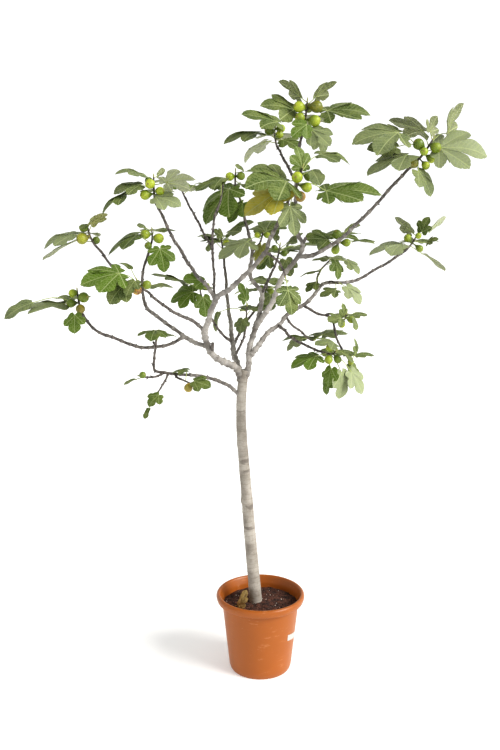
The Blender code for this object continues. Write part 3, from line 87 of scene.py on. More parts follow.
# Branches: start radius, end radius and points
BRANCHES = {
    "centre_front": (13, 4.8, ((-70, 0, 1150), (-88, -10, 1205), (-120, -30, 1228), (-168, -60, 1256),
        (-198, -80, 1310), (-204, -110, 1350), (-192, -140, 1392), (-157, -170, 1485), (-106, -190, 1520),
        (-30, -220, 1594), (10, -250, 1645), (31, -280, 1700), (70, -305, 1775), (86, -325, 1820))),
    "left_upper": (6.6, 4.4, ((-160, -165, 1478), (-190, -160, 1522), (-235, -150, 1570), (-290, -130, 1655),
        (-314, -120, 1690), (-348, -110, 1765), (-372, -102, 1812))),
    "left_mid": (7.8, 4.4, ((-195, -78, 1300), (-250, -50, 1313), (-325, -20, 1358), (-390, 0, 1405),
        (-424, 10, 1430), (-440, 30, 1470), (-446, 50, 1530), (-440, 65, 1580), (-425, 80, 1630))),
    "left_far": (5, 4.2, ((-442, 36, 1485), (-503, 0, 1535), (-556, -20, 1600), (-582, -30, 1640),
        (-600, -40, 1662))),
    "left_low": (6.2, 4.4, ((-283, -37, 1332), (-326, -60, 1310), (-380, -90, 1299), (-442, -130, 1306),
        (-511, -180, 1340), (-565, -210, 1367), (-600, -232, 1406), (-614, -243, 1434))),
    "left_front": (6.2, 4.4, ((-202, -118, 1362), (-248, -145, 1402), (-309, -180, 1436), (-360, -225, 1479),
        (-382, -262, 1508))),
    "lowest": (7, 4, ((-73, 0, 1095), (-105, -12, 1130), (-141, -30, 1155), (-220, -50, 1185),
        (-330, -80, 1200), (-382, -100, 1212), (-389, -120, 1230), (-383, -150, 1267), (-374, -172, 1310))),
    "lowest_left": (4, 3.4, ((-352, -89, 1205), (-383, -140, 1198), (-408, -182, 1204))),
    "lowest_down": (4, 3.4, ((-340, -83, 1202), (-350, -125, 1178), (-360, -160, 1162))),
    "lowest_right": (4, 3.4, ((-318, -77, 1198), (-305, -100, 1188), (-285, -106, 1180))),
    "inner_back": (8.2, 4.4, ((-72, 2, 1165), (-92, 50, 1222), (-105, 110, 1254), (-116, 210, 1327),
        (-130, 270, 1420), (-140, 312, 1520), (-148, 338, 1610))),
    "inner_left": (5, 4, ((-110, 150, 1283), (-160, 160, 1327), (-200, 160, 1390), (-222, 155, 1438))),
    "inner_mid": (4.8, 4, ((-100, 80, 1239), (-66, 150, 1300), (-56, 200, 1352))),
    "centre": (11, 4.5, ((-64, 0, 1165), (-46, 0, 1215), (-43, 20, 1278), (-16, 40, 1375), (1, 68, 1431),
        (2, 90, 1486), (-36, 110, 1534), (-40, 118, 1575), (-33, 120, 1645), (-60, 110, 1753),
        (-77, 100, 1828))),
    "centre_left": (4.6, 4, ((-164, -165, 1468), (-167, -140, 1541), (-172, -100, 1600), (-176, -50, 1665),
        (-176, -20, 1731), (-164, 0, 1781), (-152, 15, 1812))),
    "left_back": (4.2, 3.8, ((-176, -58, 1655), (-200, 0, 1690), (-228, 70, 1735), (-270, 150, 1805),
        (-294, 205, 1846))),
    "centre_side": (4.6, 4, ((-33, 120, 1638), (-20, 132, 1652), (-8, 136, 1664))),
    "back_right": (5.6, 4.2, ((2, 88, 1476), (26, 150, 1520), (50, 220, 1566), (66, 268, 1596))),
    "rear_low": (5.6, 4.2, ((-108, 135, 1272), (-70, 260, 1330), (-20, 370, 1390), (12, 430, 1430))),
    "top": (10, 4.6, ((-20, 37, 1360), (21, 32, 1421), (50, 30, 1470), (78, 35, 1545), (122, 40, 1598),
        (148, 40, 1638), (153, 40, 1671), (136, 42, 1710), (128, 46, 1800), (130, 50, 1900), (138, 50, 2000),
        (152, 50, 2084))),
    "top_back": (5.4, 4.2, ((130, 50, 1895), (104, 150, 1955), (78, 260, 2018), (66, 315, 2048))),
    "right_far": (7.4, 4.8, ((138, 40, 1622), (183, 20, 1624), (223, 0, 1644), (299, -20, 1694),
        (332, -40, 1730), (413, -70, 1813), (447, -90, 1858), (500, -115, 1916), (524, -130, 1942))),
    "right_inner": (4.2, 4, ((275, -14, 1678), (282, 20, 1674), (286, 46, 1668))),
    "front_hanging": (4, 3.4, ((10, -250, 1645), (36, -258, 1630), (60, -256, 1606), (74, -252, 1578))),
    "right_back": (9, 4.4, ((-43, 12, 1250), (-18, 12, 1278), (10, 30, 1317), (35, 70, 1338),
        (75, 100, 1364), (104, 130, 1397), (182, 170, 1439), (229, 200, 1491), (259, 230, 1512),
        (324, 270, 1511), (397, 300, 1522), (516, 335, 1585), (600, 375, 1635))),
    "right_hanging": (4.4, 3.8, ((229, 200, 1488), (224, 206, 1530), (236, 206, 1560))),
    "right_drooping": (4.2, 3.6, ((270, 237, 1512), (282, 230, 1518), (292, 224, 1516))),
    "drop_end": (5, 3.6, ((165, 162, 1430), (218, 140, 1401), (258, 118, 1392), (276, 90, 1380),
        (283, 60, 1341), (292, 38, 1305), (310, 18, 1268))),
    "drop_upper": (4, 3.6, ((250, 122, 1394), (272, 118, 1400), (292, 110, 1392))),
    "low_front": (5.6, 4, ((68, 95, 1359), (86, 40, 1348), (107, -20, 1330), (144, -70, 1312),
        (190, -110, 1294), (216, -130, 1288))),
    "low_back": (4.4, 3.8, ((98, 124, 1390), (122, 140, 1355), (156, 165, 1328), (182, 185, 1303))),
}
# The ends of limbs that were pruned: radius and points
STUBS = (
    (6, ((-180, -68, 1275), (-176, -100, 1315))),
    (5.6, ((-204, -110, 1350), (-216, -104, 1368))),
    (5.2, ((2, 86, 1478), (14, 80, 1500))),
    (6, ((151, 40, 1655), (166, 34, 1692))),
    (4.4, ((-380, -90, 1299), (-392, -100, 1320))),
)

# Which way a blade's upper face looks
UP = (0, 0, 1)
RISING = (0, -1, 1)
FRONT = (0, -1, 0.25)
AWAY = (0, 0.6, 1)

# The leafy shoots, as in the part: a heart and, from it, the stem's tip, the figs with their radii,
# and the leaves as blade's foot, blade's tip, way that it faces and number of lobes
SHOOTS = {
    "top": ((162, 50, 2133), (5, 0, 50), (
        (-25, -20, 22, 20), (-22, -22, -16, 18), (36, -10, 24, 22), (30, -18, -26, 21), (10, 26, 26, 18)), (
        ((43, 20, -67), (79, 40, -129), (50, -85, 5), 3),
        ((-2, -40, -36), (-57, -70, -81), (10, -90, 45), 3),
        ((27, -40, -50), (98, -90, -97), (0, -70, 70), 3),
        ((-43, 15, 17), (-164, -30, 31), (30, -65, 70), 3), ((64, 20, 14), (227, 40, 13), (5, -45, 90), 5),
        ((10, 55, 10), (30, 200, 0), UP, 5), ((27, -25, 45), (106, -50, 79), (-25, 40, 90), 3),
        ((-20, 30, 64), (-97, 50, 124), (65, 30, 70), 3))),
    "top_back": ((59, 350, 2087), (0, 10, 40), ((-22, -15, 22, 19), (16, -20, 6, 16), (24, 10, 34, 16)), (
        ((-36, 0, -16), (-128, 30, -91), (-60, 20, 80), 3),
        ((24, -10, -13), (85, -60, -49), (0, -60, 80), 3),
        ((-68, -10, 18), (-207, -30, -23), (-25, -30, 90), 3), ((10, 50, 20), (40, 200, 5), UP, 5),
        ((11, -20, 55), (-135, -50, 78), (25, -45, 85), 3))),
    "right_far": ((554, -150, 1977), (30, -10, 50), (
        (-22, -16, 27, 19), (-6, -30, 2, 14), (34, -22, 16, 18), (-34, -5, -34, 17), (26, 6, -18, 15),
        (4, -14, -42, 14)), (
        ((-24, -30, -62), (24, -40, -145), (60, -65, 45), 3),
        ((-64, -30, -9), (-201, -60, -80), (-35, -40, 85), 3),
        ((-75, -10, 52), (-234, -30, 20), (-10, -55, 85), 5),
        ((48, -10, 22), (213, -40, 26), (-15, -70, 70), 5),
        ((-58, 20, 12), (-156, 30, -4), (-20, -55, 80), 3), ((3, 30, 76), (-115, 70, 111), (35, 25, 90), 3),
        ((77, 30, 56), (135, 60, 153), (-80, 50, 30), 3), ((15, -15, 68), (40, 0, 122), (-55, 85, 0), 3))),
    "right_back": ((636, 400, 1671), (25, 5, 45), (
        (26, -10, -26, 15), (-24, -12, 16, 16), (-34, 6, -24, 16), (18, -16, 26, 13)), (
        ((-47, -10, -8), (-186, -30, -48), (-25, -25, 95), 3), ((50, -10, -35), (160, -20, -90), UP, 1),
        ((20, 50, 5), (70, 180, 0), UP, 5), ((58, -5, -4), (97, -30, 17), (-60, -35, 70), 3),
        ((72, 30, 41), (150, 50, 99), (-60, 45, 65), 1), ((-6, 15, 41), (-76, 30, 99), (65, 35, 70), 3),
        ((30, -10, 41), (55, -20, 102), (-60, -80, 10), 3))),
    "centre_front": ((103, -350, 1843), (25, -10, 75), (
        (6, -24, 38, 18), (44, 4, 44, 16), (36, -14, 8, 16), (16, -16, -20, 17)), (
        ((-16, -15, -53), (0, -25, -145), (45, -90, 20), 5),
        ((-32, 0, 0), (-154, -20, -82), (-35, -60, 70), 3),
        ((-44, 25, 39), (-141, 35, 75), (20, -65, 75), 3),
        ((92, -20, -22), (263, -50, -67), (15, -40, 90), 5),
        ((-17, -15, 21), (-156, -80, -25), (0, -60, 80), 5),
        ((52, -25, 61), (73, -80, 17), (-15, -65, 75), 1), ((81, 25, 114), (183, 40, 94), (25, -35, 90), 3),
        ((22, -5, 68), (9, 5, 137), (30, -95, 20), 5))),
    "centre": ((-95, 90, 1878), (0, 0, 60), ((-20, -15, 36, 16), (20, -12, 38, 15)), (
        ((28, -30, -60), (-24, -50, -134), (-60, -60, 55), 3),
        ((-24, -20, -2), (-134, -60, -112), (-50, -55, 70), 5), ((20, 50, 10), (70, 190, 5), UP, 5),
        ((32, -10, 56), (-1, -30, 76), (65, -45, 60), 1))),
    "centre_left": ((-141, 18, 1870), (5, 0, 30), (), (
        ((-2, -10, 34), (-95, -40, -17), (-35, -35, 85), 3),
        ((10, -20, 23), (-30, -40, -10), (-40, -45, 80), 1))),
    "left_upper": ((-378, -100, 1856), (0, 0, 48), (
        (-28, -15, -17, 17.5), (-9, -25, 20, 17.5), (-18, 12, 32, 14), (22, -14, -4, 15)), (
        ((10, -30, -22), (102, -50, -29), (-5, -55, 85), 3),
        ((-58, -15, -21), (-128, -50, -114), (-60, -45, 65), 3), ((0, 50, 0), (10, 160, 0), UP, 3),
        ((-47, -10, 17), (-139, -30, -8), (-15, -45, 90), 3),
        ((39, -30, 22), (141, -55, 41), (-5, 50, 85), 5), ((-34, 5, 52), (-131, -20, 64), (15, -20, 95), 3),
        ((10, 15, 49), (35, 50, 72), (-85, 40, 35), 1))),
    "left_back": ((-312, 250, 1882), (-5, 15, 30), ((22, -8, 4, 15), (-22, -4, 6, 13)), (
        ((43, 5, 27), (91, 0, 31), (-10, -25, 95), 1), ((5, 55, 10), (25, 190, 0), UP, 5),
        ((-30, 25, 30), (-130, 90, 20), UP, 3))),
    "left_mid": ((-412, 100, 1682), (0, 0, 40), (
        (-22, -20, 21, 18), (26, -14, 6, 19), (-12, -18, -22, 14)), (
        ((33, -30, -33), (52, -50, -118), (25, -90, 30), 5),
        ((-51, -10, 26), (-170, -30, -37), (-40, -35, 85), 3), ((5, 30, 38), (30, 150, 26), UP, 3),
        ((-20, -15, 45), (-50, -40, 55), (60, -45, 65), 1))),
    "left_far": ((-617, -50, 1697), (-8, 0, 35), (
        (-24, -20, -9, 20), (-20, -6, 28, 15), (18, 12, -16, 14)), (
        ((-50, 20, -15), (-175, 10, -90), UP, 1), ((-37, -15, 0), (-143, -40, -38), (-25, -40, 90), 3),
        ((-20, 50, 10), (-80, 150, 0), UP, 3), ((9, -5, 43), (68, -25, 81), (-45, 30, 85), 3),
        ((0, -15, 39), (-27, -40, 32), (20, -50, 85), 1))),
    "left_low": ((-623, -250, 1473), (-5, 0, 45), (
        (18, -14, 20, 18), (-18, -6, 34, 14), (-24, -12, 0, 15), (8, -20, -18, 16)), (
        ((1, -45, -30), (3, -65, -91), (-20, -95, 30), 3),
        ((-103, -10, 1), (-230, -40, -67), (-25, -60, 75), 1), ((-20, 50, 10), (-80, 150, 10), UP, 3),
        ((-39, 10, 13), (-206, 30, 4), (-5, -10, 100), 3))),
    "left_front": ((-407, -300, 1531), (-10, -10, 25), ((24, -20, 8, 15), (-6, -32, -8, 16)), (
        ((4, -35, 2), (-8, -70, -48), (0, -80, 55), 3), ((-26, -30, 8), (-71, -65, -55), (0, -90, 50), 3),
        ((20, 40, 0), (55, 150, -10), UP, 3), ((-44, -15, 33), (-167, -50, -4), (-10, -55, 85), 5),
        ((-35, 40, 57), (-80, 75, 80), (30, -20, 95), 1))),
    "inner_left": ((-235, 150, 1490), (5, 0, 30), ((24, -8, 16, 13),), (
        ((12, -15, -26), (24, -30, -103), (45, -85, 25), 3),
        ((-29, 10, -9), (-121, 30, -46), (-40, -60, 70), 5), ((-5, 50, 0), (-40, 170, 0), UP, 3),
        ((-50, 5, 25), (-180, 10, 52), UP, 3), ((13, -20, 36), (-62, -50, 45), (30, -55, 80), 3))),
    "inner_back": ((-156, 350, 1668), (-5, 5, 35), ((18, -14, 0, 14),), (
        ((26, -30, -8), (83, -60, -55), (45, -45, 80), 3),
        ((-31, -40, 12), (-53, -80, -35), (-35, -60, 70), 1), ((0, 55, 10), (-20, 200, 0), UP, 5),
        ((-20, 35, 25), (-70, 130, 10), UP, 3), ((30, -25, 44), (131, -50, 84), (-40, -30, 85), 3),
        ((1, -20, 28), (-34, -40, 52), (65, -70, 35), 3))),
    "inner_mid": ((-55, 220, 1400), (3, 3, 25), (), (
        ((-14, -40, -27), (-25, -70, -79), (-40, -75, 50), 3), ((17, 48, 3), (62, 168, 6), UP, 3),
        ((-110, 5, -3), (-126, 0, -83), (-85, -50, 20), 1),
        ((-2, -15, 46), (-33, -35, 115), (80, -60, 20), 3))),
    "centre_side": ((4, 138, 1690), (5, 0, 25), ((-16, -12, 10, 12), (20, -8, 10, 12)), (
        ((-3, -35, -27), (-11, -60, -97), (-75, -60, 30), 3),
        ((-45, -55, -12), (-150, -90, -78), (-35, -45, 80), 5), ((15, 40, 25), (40, 160, 60), UP, 3),
        ((16, -10, 22), (-15, -20, 59), (70, -60, 40), 1))),
    "back_right": ((76, 300, 1633), (5, 8, 30), ((-18, -10, 15, 13), (20, -12, -6, 13)), (
        ((20, -30, -30), (40, -50, -95), FRONT, 3), ((-25, -30, -20), (-60, -50, -85), FRONT, 3),
        ((10, 55, 5), (30, 200, 5), UP, 5), ((50, 25, 10), (170, 80, 5), UP, 5),
        ((36, -10, 36), (98, -30, 71), (-55, -30, 80), 3),
        ((-17, -15, 47), (-2, -40, 99), (-90, -45, 0), 3))),
    "rear_low": ((30, 470, 1470), (5, 15, 25), ((-20, -6, 4, 15), (18, -6, -8, 14)), (
        ((5, -35, -25), (-10, -60, -95), FRONT, 3), ((-35, 30, 0), (-100, 140, -30), UP, 5),
        ((35, 30, 10), (105, 140, -15), UP, 5), ((5, 60, 15), (15, 210, -10), UP, 5))),
    "front_hanging": ((81, -250, 1552), (2, -3, -5), (), (
        ((6, -18, -34), (20, -30, -117), (45, -85, 20), 5),)),
    "right_inner": ((293, 82, 1672), (3, 15, 15), ((-8, -10, 30, 18), (-12, -8, -26, 16), (28, -4, 0, 15)), (
        ((-40, -5, 10), (-130, -30, 15), RISING, 3), ((45, 20, 5), (130, 80, -5), UP, 3),
        ((10, 60, 15), (30, 190, 15), UP, 5), ((25, 10, 40), (80, 25, 70), AWAY, 3))),
    "right_hanging": ((262, 202, 1592), (10, 0, 10), (), (
        ((-40, -10, -30), (-110, -10, -55), UP, 3), ((-45, -30, -77), (-85, -50, -110), (-40, -55, 75), 3),
        ((32, -25, 5), (40, -40, -64), (70, -65, 20), 3), ((55, 5, 4), (102, -10, -43), (50, -55, 70), 3),
        ((15, 50, 15), (50, 180, 10), UP, 5))),
    "right_drooping": ((306, 216, 1512), (8, -3, 0), (), (
        ((-9, -35, -24), (-74, -65, -50), (-15, -45, 90), 3),
        ((36, -20, -14), (90, -40, -79), (50, -65, 60), 3))),
    "drop_upper": ((321, 100, 1378), (10, 0, 25), ((-10, -16, -14, 14), (26, -8, 2, 14)), (
        ((-16, -40, 12), (-69, -75, 0), (20, -55, 80), 3), ((21, -15, 9), (33, -20, -40), (80, -60, 25), 1),
        ((20, 40, 10), (60, 160, 5), UP, 3), ((1, 10, 14), (-3, 15, 64), (70, -70, 15), 3))),
    "drop_end": ((333, -4, 1240), (10, -5, -5), ((2, -18, -6, 12),), (
        ((8, -10, -23), (16, -20, -97), (70, -70, 15), 3), ((20, 35, 10), (70, 140, 0), UP, 3),
        ((24, 5, 24), (20, 10, 80), (90, -40, 10), 3))),
    "low_front": ((252, -150, 1282), (15, -5, 15), (
        (-10, -16, 24, 14), (-14, -22, -16, 15), (18, -16, -16, 14)), (
        ((-4, -42, -36), (-15, -60, -97), (-65, -70, 30), 3),
        ((-59, -20, -4), (-149, -50, -42), (-25, -35, 90), 5),
        ((-7, -5, -75), (-21, -15, -145), (-90, -40, 25), 3),
        ((27, -20, -47), (31, -30, -142), (65, -75, 10), 3),
        ((47, 5, -44), (88, 0, -123), (65, -65, 40), 3), ((10, 50, -5), (20, 170, -10), UP, 3),
        ((33, -15, 10), (70, -40, -22), (45, -35, 80), 1), ((5, -10, 42), (-66, -50, 40), (15, -30, 95), 3))),
    "low_back": ((205, 200, 1285), (10, 5, 0), (), (
        ((-51, -15, 8), (-99, -25, -39), (-60, -40, 70), 3), ((-15, 45, 5), (-70, 160, -10), UP, 5),
        ((40, 35, 10), (120, 130, 0), UP, 5))),
    "lowest": ((-371, -186, 1345), (2, -4, 10), (), (
        ((5, 30, 5), (25, 130, -10), UP, 3), ((0, -25, 30), (-5, -110, 6), UP, 5))),
    "lowest_left": ((-424, -210, 1212), (-6, -10, 4), ((8, -18, 8, 12),), (
        ((-14, -20, -6), (-54, -40, -23), (-30, -20, 95), 1),)),
    "lowest_down": ((-368, -188, 1150), (-4, -12, -12), (), (
        ((-29, -28, -50), (-42, -45, -86), (-55, -70, 50), 1),
        ((8, -38, -1), (-28, -60, -36), (-20, -70, 65), 3))),
    "lowest_right": ((-264, -112, 1172), (12, -2, -4), ((0, -14, -16, 16),), (
        ((-7, 15, 44), (-62, 20, 32), (-20, -15, 95), 3), ((21, -20, 9), (83, -40, -9), (5, -60, 80), 3))),
}

# The shoot's stem and stalks, and the laying out of its leaves, as in the part
STEM_STRAIGHT = 0.006
STEM_TIP_RADIUS = 0.0022
STALK_RADIUS = 0.0014
STALK_LIFT = 0.12
LONG_STALK = 0.075
FIRST_LEAF = 0.15
LAST_LEAF = 0.90
FIG_PLACES = [step / 20 for step in range(2, 19)]
BLADE_ARCH = 0.09
BLADE_HANG = 0.26
LOBE_SPREAD = 0.07
TURN_STEPS = (6, 12, 18, 25, 32, 40)
TURN_WAYS = ((1, 0), (-1, 0), (0, 1), (0, -1), (1, 1), (-1, 1), (1, -1), (-1, -1))
STALK_REACHES = (1.0, 1.25, 1.5)
CAD_HALF_BLADE = 0.0004
TURN_MATCH = 0.00015

# The blade's fine outline, in lengths of its midrib: each lobe's angle, length and half width,
# then how deep the sinuses are cut and where the blade's base runs back to its stalk
LOBES = {
    5: ((-90, 0.54, 0.215), (-43, 0.84, 0.262), (0, 1.0, 0.280), (43, 0.84, 0.262), (90, 0.54, 0.215)),
    3: ((-46, 0.76, 0.290), (0, 1.0, 0.325), (46, 0.76, 0.290)),
    1: ((0, 1.0, 0.32),),
}
SINUS = {5: 0.50, 3: 0.57, 1: 0.0}
SINUS_SPREAD = 0.10
BLADE_BASE = {5: ((132, 0.28), (158, 0.16)), 3: ((104, 0.36), (138, 0.22)), 1: ((62, 0.30), (96, 0.15))}
LOBE_SHAPE = ((0.52, 0.80), (0.65, 1.00), (0.79, 0.91), (0.90, 0.60), (0.975, 0.20))
LOBE_TURN = 5.0
WIDTH_SPREAD = 0.12
LOBE_SAMPLES = 3
TOOTH = 0.014
TOOTH_EVERY = 3
BLADE_RINGS = (0.0, 0.14, 0.30, 0.46, 0.61, 0.75, 0.88, 1.0)
BLADE_HALF = 0.00028
INNER_ARCH = 0.45
LOBE_FOLD = 0.10
FOLD_ENDS = 0.15
QUILT = 0.0045
QUILT_STARTS = 0.04
SIDE_VEINS = 11.0
VEIN_SLANT = 0.7
MARGIN_WAVE = 0.026
LOBE_BEND = 0.11
BEND_STARTS = 0.4
VEIN_RADIUS = 0.0010

# Leaves that have turned yellow, and figs that ripen: how far, from 0 to 1
YELLOW_LEAVES = {("centre_front", 1): 0.75, ("centre_side", 0): 0.35, ("left_far", 3): 0.25}
RIPE_FIGS = {
    ("centre_front", 3): 0.75, ("left_low", 3): 0.55, ("lowest_right", 0): 0.7,
    ("right_far", 3): 0.3, ("left_far", 0): 0.3, ("top", 2): 0.2, ("left_front", 1): 1.0,
}
# Painted light on the listed leaves: deep vivid green, near 0, stands in for light shining through a leaf,
# pale silvery, near 1, for sheen and light falling on it
PAINTED_LIGHT_LEAF_TONES = {
    ("left_mid", 0): 0.0, ("left_front", 3): 0.05, ("left_low", 0): 0.1, ("low_front", 1): 0.05,
    ("low_front", 0): 0.0, ("low_front", 2): 0.1, ("centre", 1): 0.15, ("centre_front", 7): 0.2,
    ("inner_left", 1): 0.0, ("inner_left", 4): 0.05, ("inner_left", 0): 0.1, ("top", 1): 0.1,
    ("centre_front", 3): 0.2, ("front_hanging", 0): 0.35, ("inner_mid", 3): 0.05, ("centre", 0): 0.1,
    ("right_far", 3): 0.85, ("left_upper", 0): 0.8, ("left_upper", 4): 0.8, ("top", 2): 0.7,
    ("top", 0): 0.7, ("top_back", 0): 0.9, ("right_back", 0): 0.85, ("right_back", 4): 1.0,
    ("low_front", 4): 1.0, ("low_front", 3): 0.8, ("right_far", 1): 0.7, ("centre_side", 1): 0.8,
    ("right_far", 7): 0.45, ("left_far", 1): 0.7, ("centre_front", 0): 0.65, ("low_back", 0): 0.8,
    ("right_hanging", 2): 0.2, ("right_hanging", 3): 0.7, ("right_drooping", 1): 0.9,
}
# Blades that are shorter here than the part's
SHORTER_BLADES = {("left_low", 1): 0.74}

# Material slots of a shoot
BARK, GREEN, UPPER, UNDER, FIG, EYE_OF_FIG = range(6)
VEIN_SHARES = (0.0, 0.12, 0.26, 0.42, 0.58, 0.74, 0.90)
VEIN_DROP = 0.0005
VEIN_SIDES = 5
STALK_SIDES = 8
STALK_STEP = 0.008

# A fig's profile from its neck to its eye: place along its axis and radius, in radii
FIG_PROFILE = (
    (-1.75, 0.17), (-1.50, 0.20), (-1.28, 0.28), (-1.08, 0.42), (-0.84, 0.61), (-0.55, 0.81), (-0.22, 0.95),
    (0.12, 1.00), (0.42, 0.95), (0.68, 0.82), (0.88, 0.62), (1.00, 0.40), (1.06, 0.22), (1.09, 0.17),
    (1.12, 0.15), (1.10, 0.09), (1.07, 0.02),
)
FIG_EYE_STARTS = 1.05
FIG_SIDES = 24
FIG_RIBS = 9
FIG_RIB = 0.012

# The shoots' stems, and their end buds as place past the tip and radius
STEM_SIDES = 12
STEM_STEP = 0.004
STEM_RING = 0.016
STEM_RIPPLE = 0.06
STEM_WOODY = 0.92
STEM_EVEN = 0.75
STEM_TAPER = 0.3
END_BUD = ((-0.001, 0.0022), (0.002, 0.0027), (0.005, 0.0021), (0.008, 0.0010), (0.010, 0.0002))

# The bark. A side bud is place along it, in its lengths, and radius
BRANCH_STEP = 0.005
LIMB_RADIUS = 0.007
LIMB_SIDES = 16
TWIG_SIDES = 12
STUB_TAPER = 0.85
COLLAR = 0.22
FIRST_NODE = (0.01, 0.03)
NODE_SPACING = (0.018, 0.042)
NODE_SWELL = 0.34
NODE_LENGTH = 0.0036
THICKER = {"inner_back": 1.35}
UNEVEN = 0.14
UNEVEN_PER_METRE = 45
BEND = 0.0030
BEND_FADE = 0.04
BENDS_PER_METRE = 24.0
BEND_SEED = 7
BUD_LIMIT = 0.0085
BUD_LENGTH = (0.004, 0.0085)
BUD_TURN = 2.4
SIDE_BUD = ((0.0, 0.0021), (0.5, 0.0023), (0.85, 0.0014), (1.1, 0.0003))
TRUNK_SIDES = 48
TRUNK_STEP = 0.006
TRUNK_RING = 0.013
FOOT_LENGTH = 0.165
TRUNK_KNOTS = 7
KNOT_LENGTH = 0.012
KNOT_TURN = 0.5

# The pot, the label and the soil in the scene alone
AT_AXIS = 0.0004
POT_SIDES = 128
WALL_STEPS = 8
FOOT_NOTCHES = 8
FOOT_NOTCH_RADIUS = 0.0035
LABEL_LIFT = 0.0001
LABEL_ROWS = 6
LABEL_COLUMNS = 30
SOIL_RADIUS = 0.1475
SOIL_RINGS = 60
SOIL_SIDES = 112
CLODS = 1300
CLOD_SIZE = (0.0010, 0.0042)
PALE_SPECKS = 0.07

# Dry leaves on the soil: stalk's root, blade's foot and tip, and way that it faces
DRY_LEAVES = (
    ((-85, -60, 273), (-75, -48, 280), (-52, -30, 330), (-1, -0.5, 0.3)),
    ((-100, -45, 272), (-88, -50, 276), (-58, -68, 286), FRONT),
)

# Colours, in linear light
PLASTIC = (0.345, 0.100, 0.014)
FLOOR_WHITE = (0.86, 0.86, 0.85)
FLOOR_RADIUS = 40.0
FLOOR_SIDES = 96
# The sky is white up to a height of its direction, and weaker above it: heights, then strengths
SKY = (0.32, 0.60, 1.0, 0.45)
KEY_LIGHT = 3.1
KEY_COLOUR = (1.0, 0.985, 0.96)
KEY_DIRECTION = (-0.95, 0.48, -0.72)
KEY_SOFTNESS = 30.0
FLOOR_GLOW = 0.22


def metres(numbers):
    """A point of the tables, which are in millimetres."""
    return Vector([number / 1000 for number in numbers])


class Shape:
    """Points and faces, with a material, a tint and pattern coordinates on each face's corners."""

    def __init__(self):
        self.points = []
        self.faces = []
        self.slots = []
        self.pattern = []
        self.tint = []

    def add_points(self, points):
        first = len(self.points)
        self.points.extend(points)
        return first

    def face(self, corners, slot, tint, pattern):
        self.faces.append(corners)
        self.slots.append(slot)
        self.pattern.extend(pattern)
        self.tint.extend([tint] * len(corners))

    def rings(self, rings, slot, tint, along, girth):
        """A closed skin over rings that turn counter-clockwise about the way they advance."""
        count, last = len(rings[0]), len(rings) - 1
        first = self.add_points([point for ring in rings for point in ring])

        def add(places):
            pattern = [(along[row], 2 * math.pi * spot / count, girth[row]) for row, spot in places]
            self.face([first + row * count + spot % count for row, spot in places], slot, tint, pattern)

        for row in range(last):
            for spot in range(count):
                add([(row, spot), (row, spot + 1), (row + 1, spot + 1), (row + 1, spot)])
        add([(0, spot) for spot in range(count - 1, -1, -1)])
        add([(last, spot) for spot in range(count)])

    def build(self, name, materials):
        mesh = bpy.data.meshes.new(name)
        mesh.from_pydata([tuple(point) for point in self.points], [], self.faces)
        mesh.polygons.foreach_set("material_index", self.slots)
        for label, values in (("pattern", self.pattern), ("tint", self.tint)):
            layer = mesh.attributes.new(label, "FLOAT_VECTOR", "CORNER")
            layer.data.foreach_set("vector", [number for value in values for number in value])
        for material in materials:
            mesh.materials.append(material)
        mesh.shade_smooth()
        mesh.set_sharp_from_angle(angle=math.radians(SHARP_FROM))
        mesh.update()
        obj = bpy.data.objects.new(name, mesh)
        bpy.context.scene.collection.objects.link(obj)
        return obj


def curve(before, start, end, after, share):
    """A point on the smooth curve from start to end that also suits their neighbours."""
    return 0.5 * (2 * start + (end - before) * share
                  + (2 * before - 5 * start + 4 * end - after) * share ** 2
                  + (3 * start - before - 3 * end + after) * share ** 3)


def stretches(points):
    """The points in fours for curve, with one more point past each end."""
    ends = [2 * points[0] - points[1]] + points + [2 * points[-1] - points[-2]]
    return zip(ends, ends[1:], ends[2:], ends[3:])


def smooth_path(points, step):
    """Points about a step apart on a smooth curve through the given ones."""
    path = []
    for four in stretches(points):
        count = max(1, round((four[2] - four[1]).length / step))
        path += [curve(*four, index / count) for index in range(count)]
    return path + [points[-1]]


def lengths_along(path):
    lengths = [0.0]
    for first, second in zip(path, path[1:]):
        lengths.append(lengths[-1] + (second - first).length)
    return lengths


def ring_frames(path):
    """Two axes square to the path at each point, which never twist about it."""
    ways = [(path[min(i + 1, len(path) - 1)] - path[max(i - 1, 0)]).normalized() for i in range(len(path))]
    first = ways[0].orthogonal().normalized()
    frames = []
    for way in ways:
        first = (first - first.dot(way) * way).normalized()
        frames.append((first, way.cross(first)))
    return frames


def ring_points(middle, axes, radii):
    """A ring of points round the middle, one for each of the radii."""
    turns = [2 * math.pi * spot / len(radii) for spot in range(len(radii))]
    return [middle + radius * (math.cos(turn) * axes[0] + math.sin(turn) * axes[1])
            for turn, radius in zip(turns, radii)]


def add_tube(shape, path, radii, sides, slot=0, tint=MIDDLE_TINT):
    rings = [ring_points(point, axes, [radius] * sides)
             for point, radius, axes in zip(path, radii, ring_frames(path))]
    shape.rings(rings, slot, tint, lengths_along(path), radii)


def stem_points(name):
    """The shoot's stem, as in the part: on from the branch's end, through the heart, to the tip."""
    last, end = (metres(point) for point in BRANCHES[name][2][-2:])
    ahead = (end - last).normalized()
    heart, tip = SHOOTS[name][:2]
    return [end + GAP * ahead, end + STEM_STRAIGHT * ahead, metres(heart), metres(heart) + metres(tip)]


def stem_at(points, share):
    _, foot, heart, tip = points
    lower, upper = (heart - foot).length, (tip - heart).length
    reach = share * (lower + upper)
    if reach < lower:
        return foot.lerp(heart, reach / lower)
    return heart.lerp(tip, (reach - lower) / upper)


def nearest_on_stem(points, target):
    return min((stem_at(points, share) for share in FIG_PLACES), key=lambda point: (point - target).length)


def stalk_points(root, foot):
    if (foot - root).length < LONG_STALK:
        return [root, foot]
    return [root, (root + foot) / 2 + Vector((0.0, 0.0, STALK_LIFT * (foot - root).length)), foot]


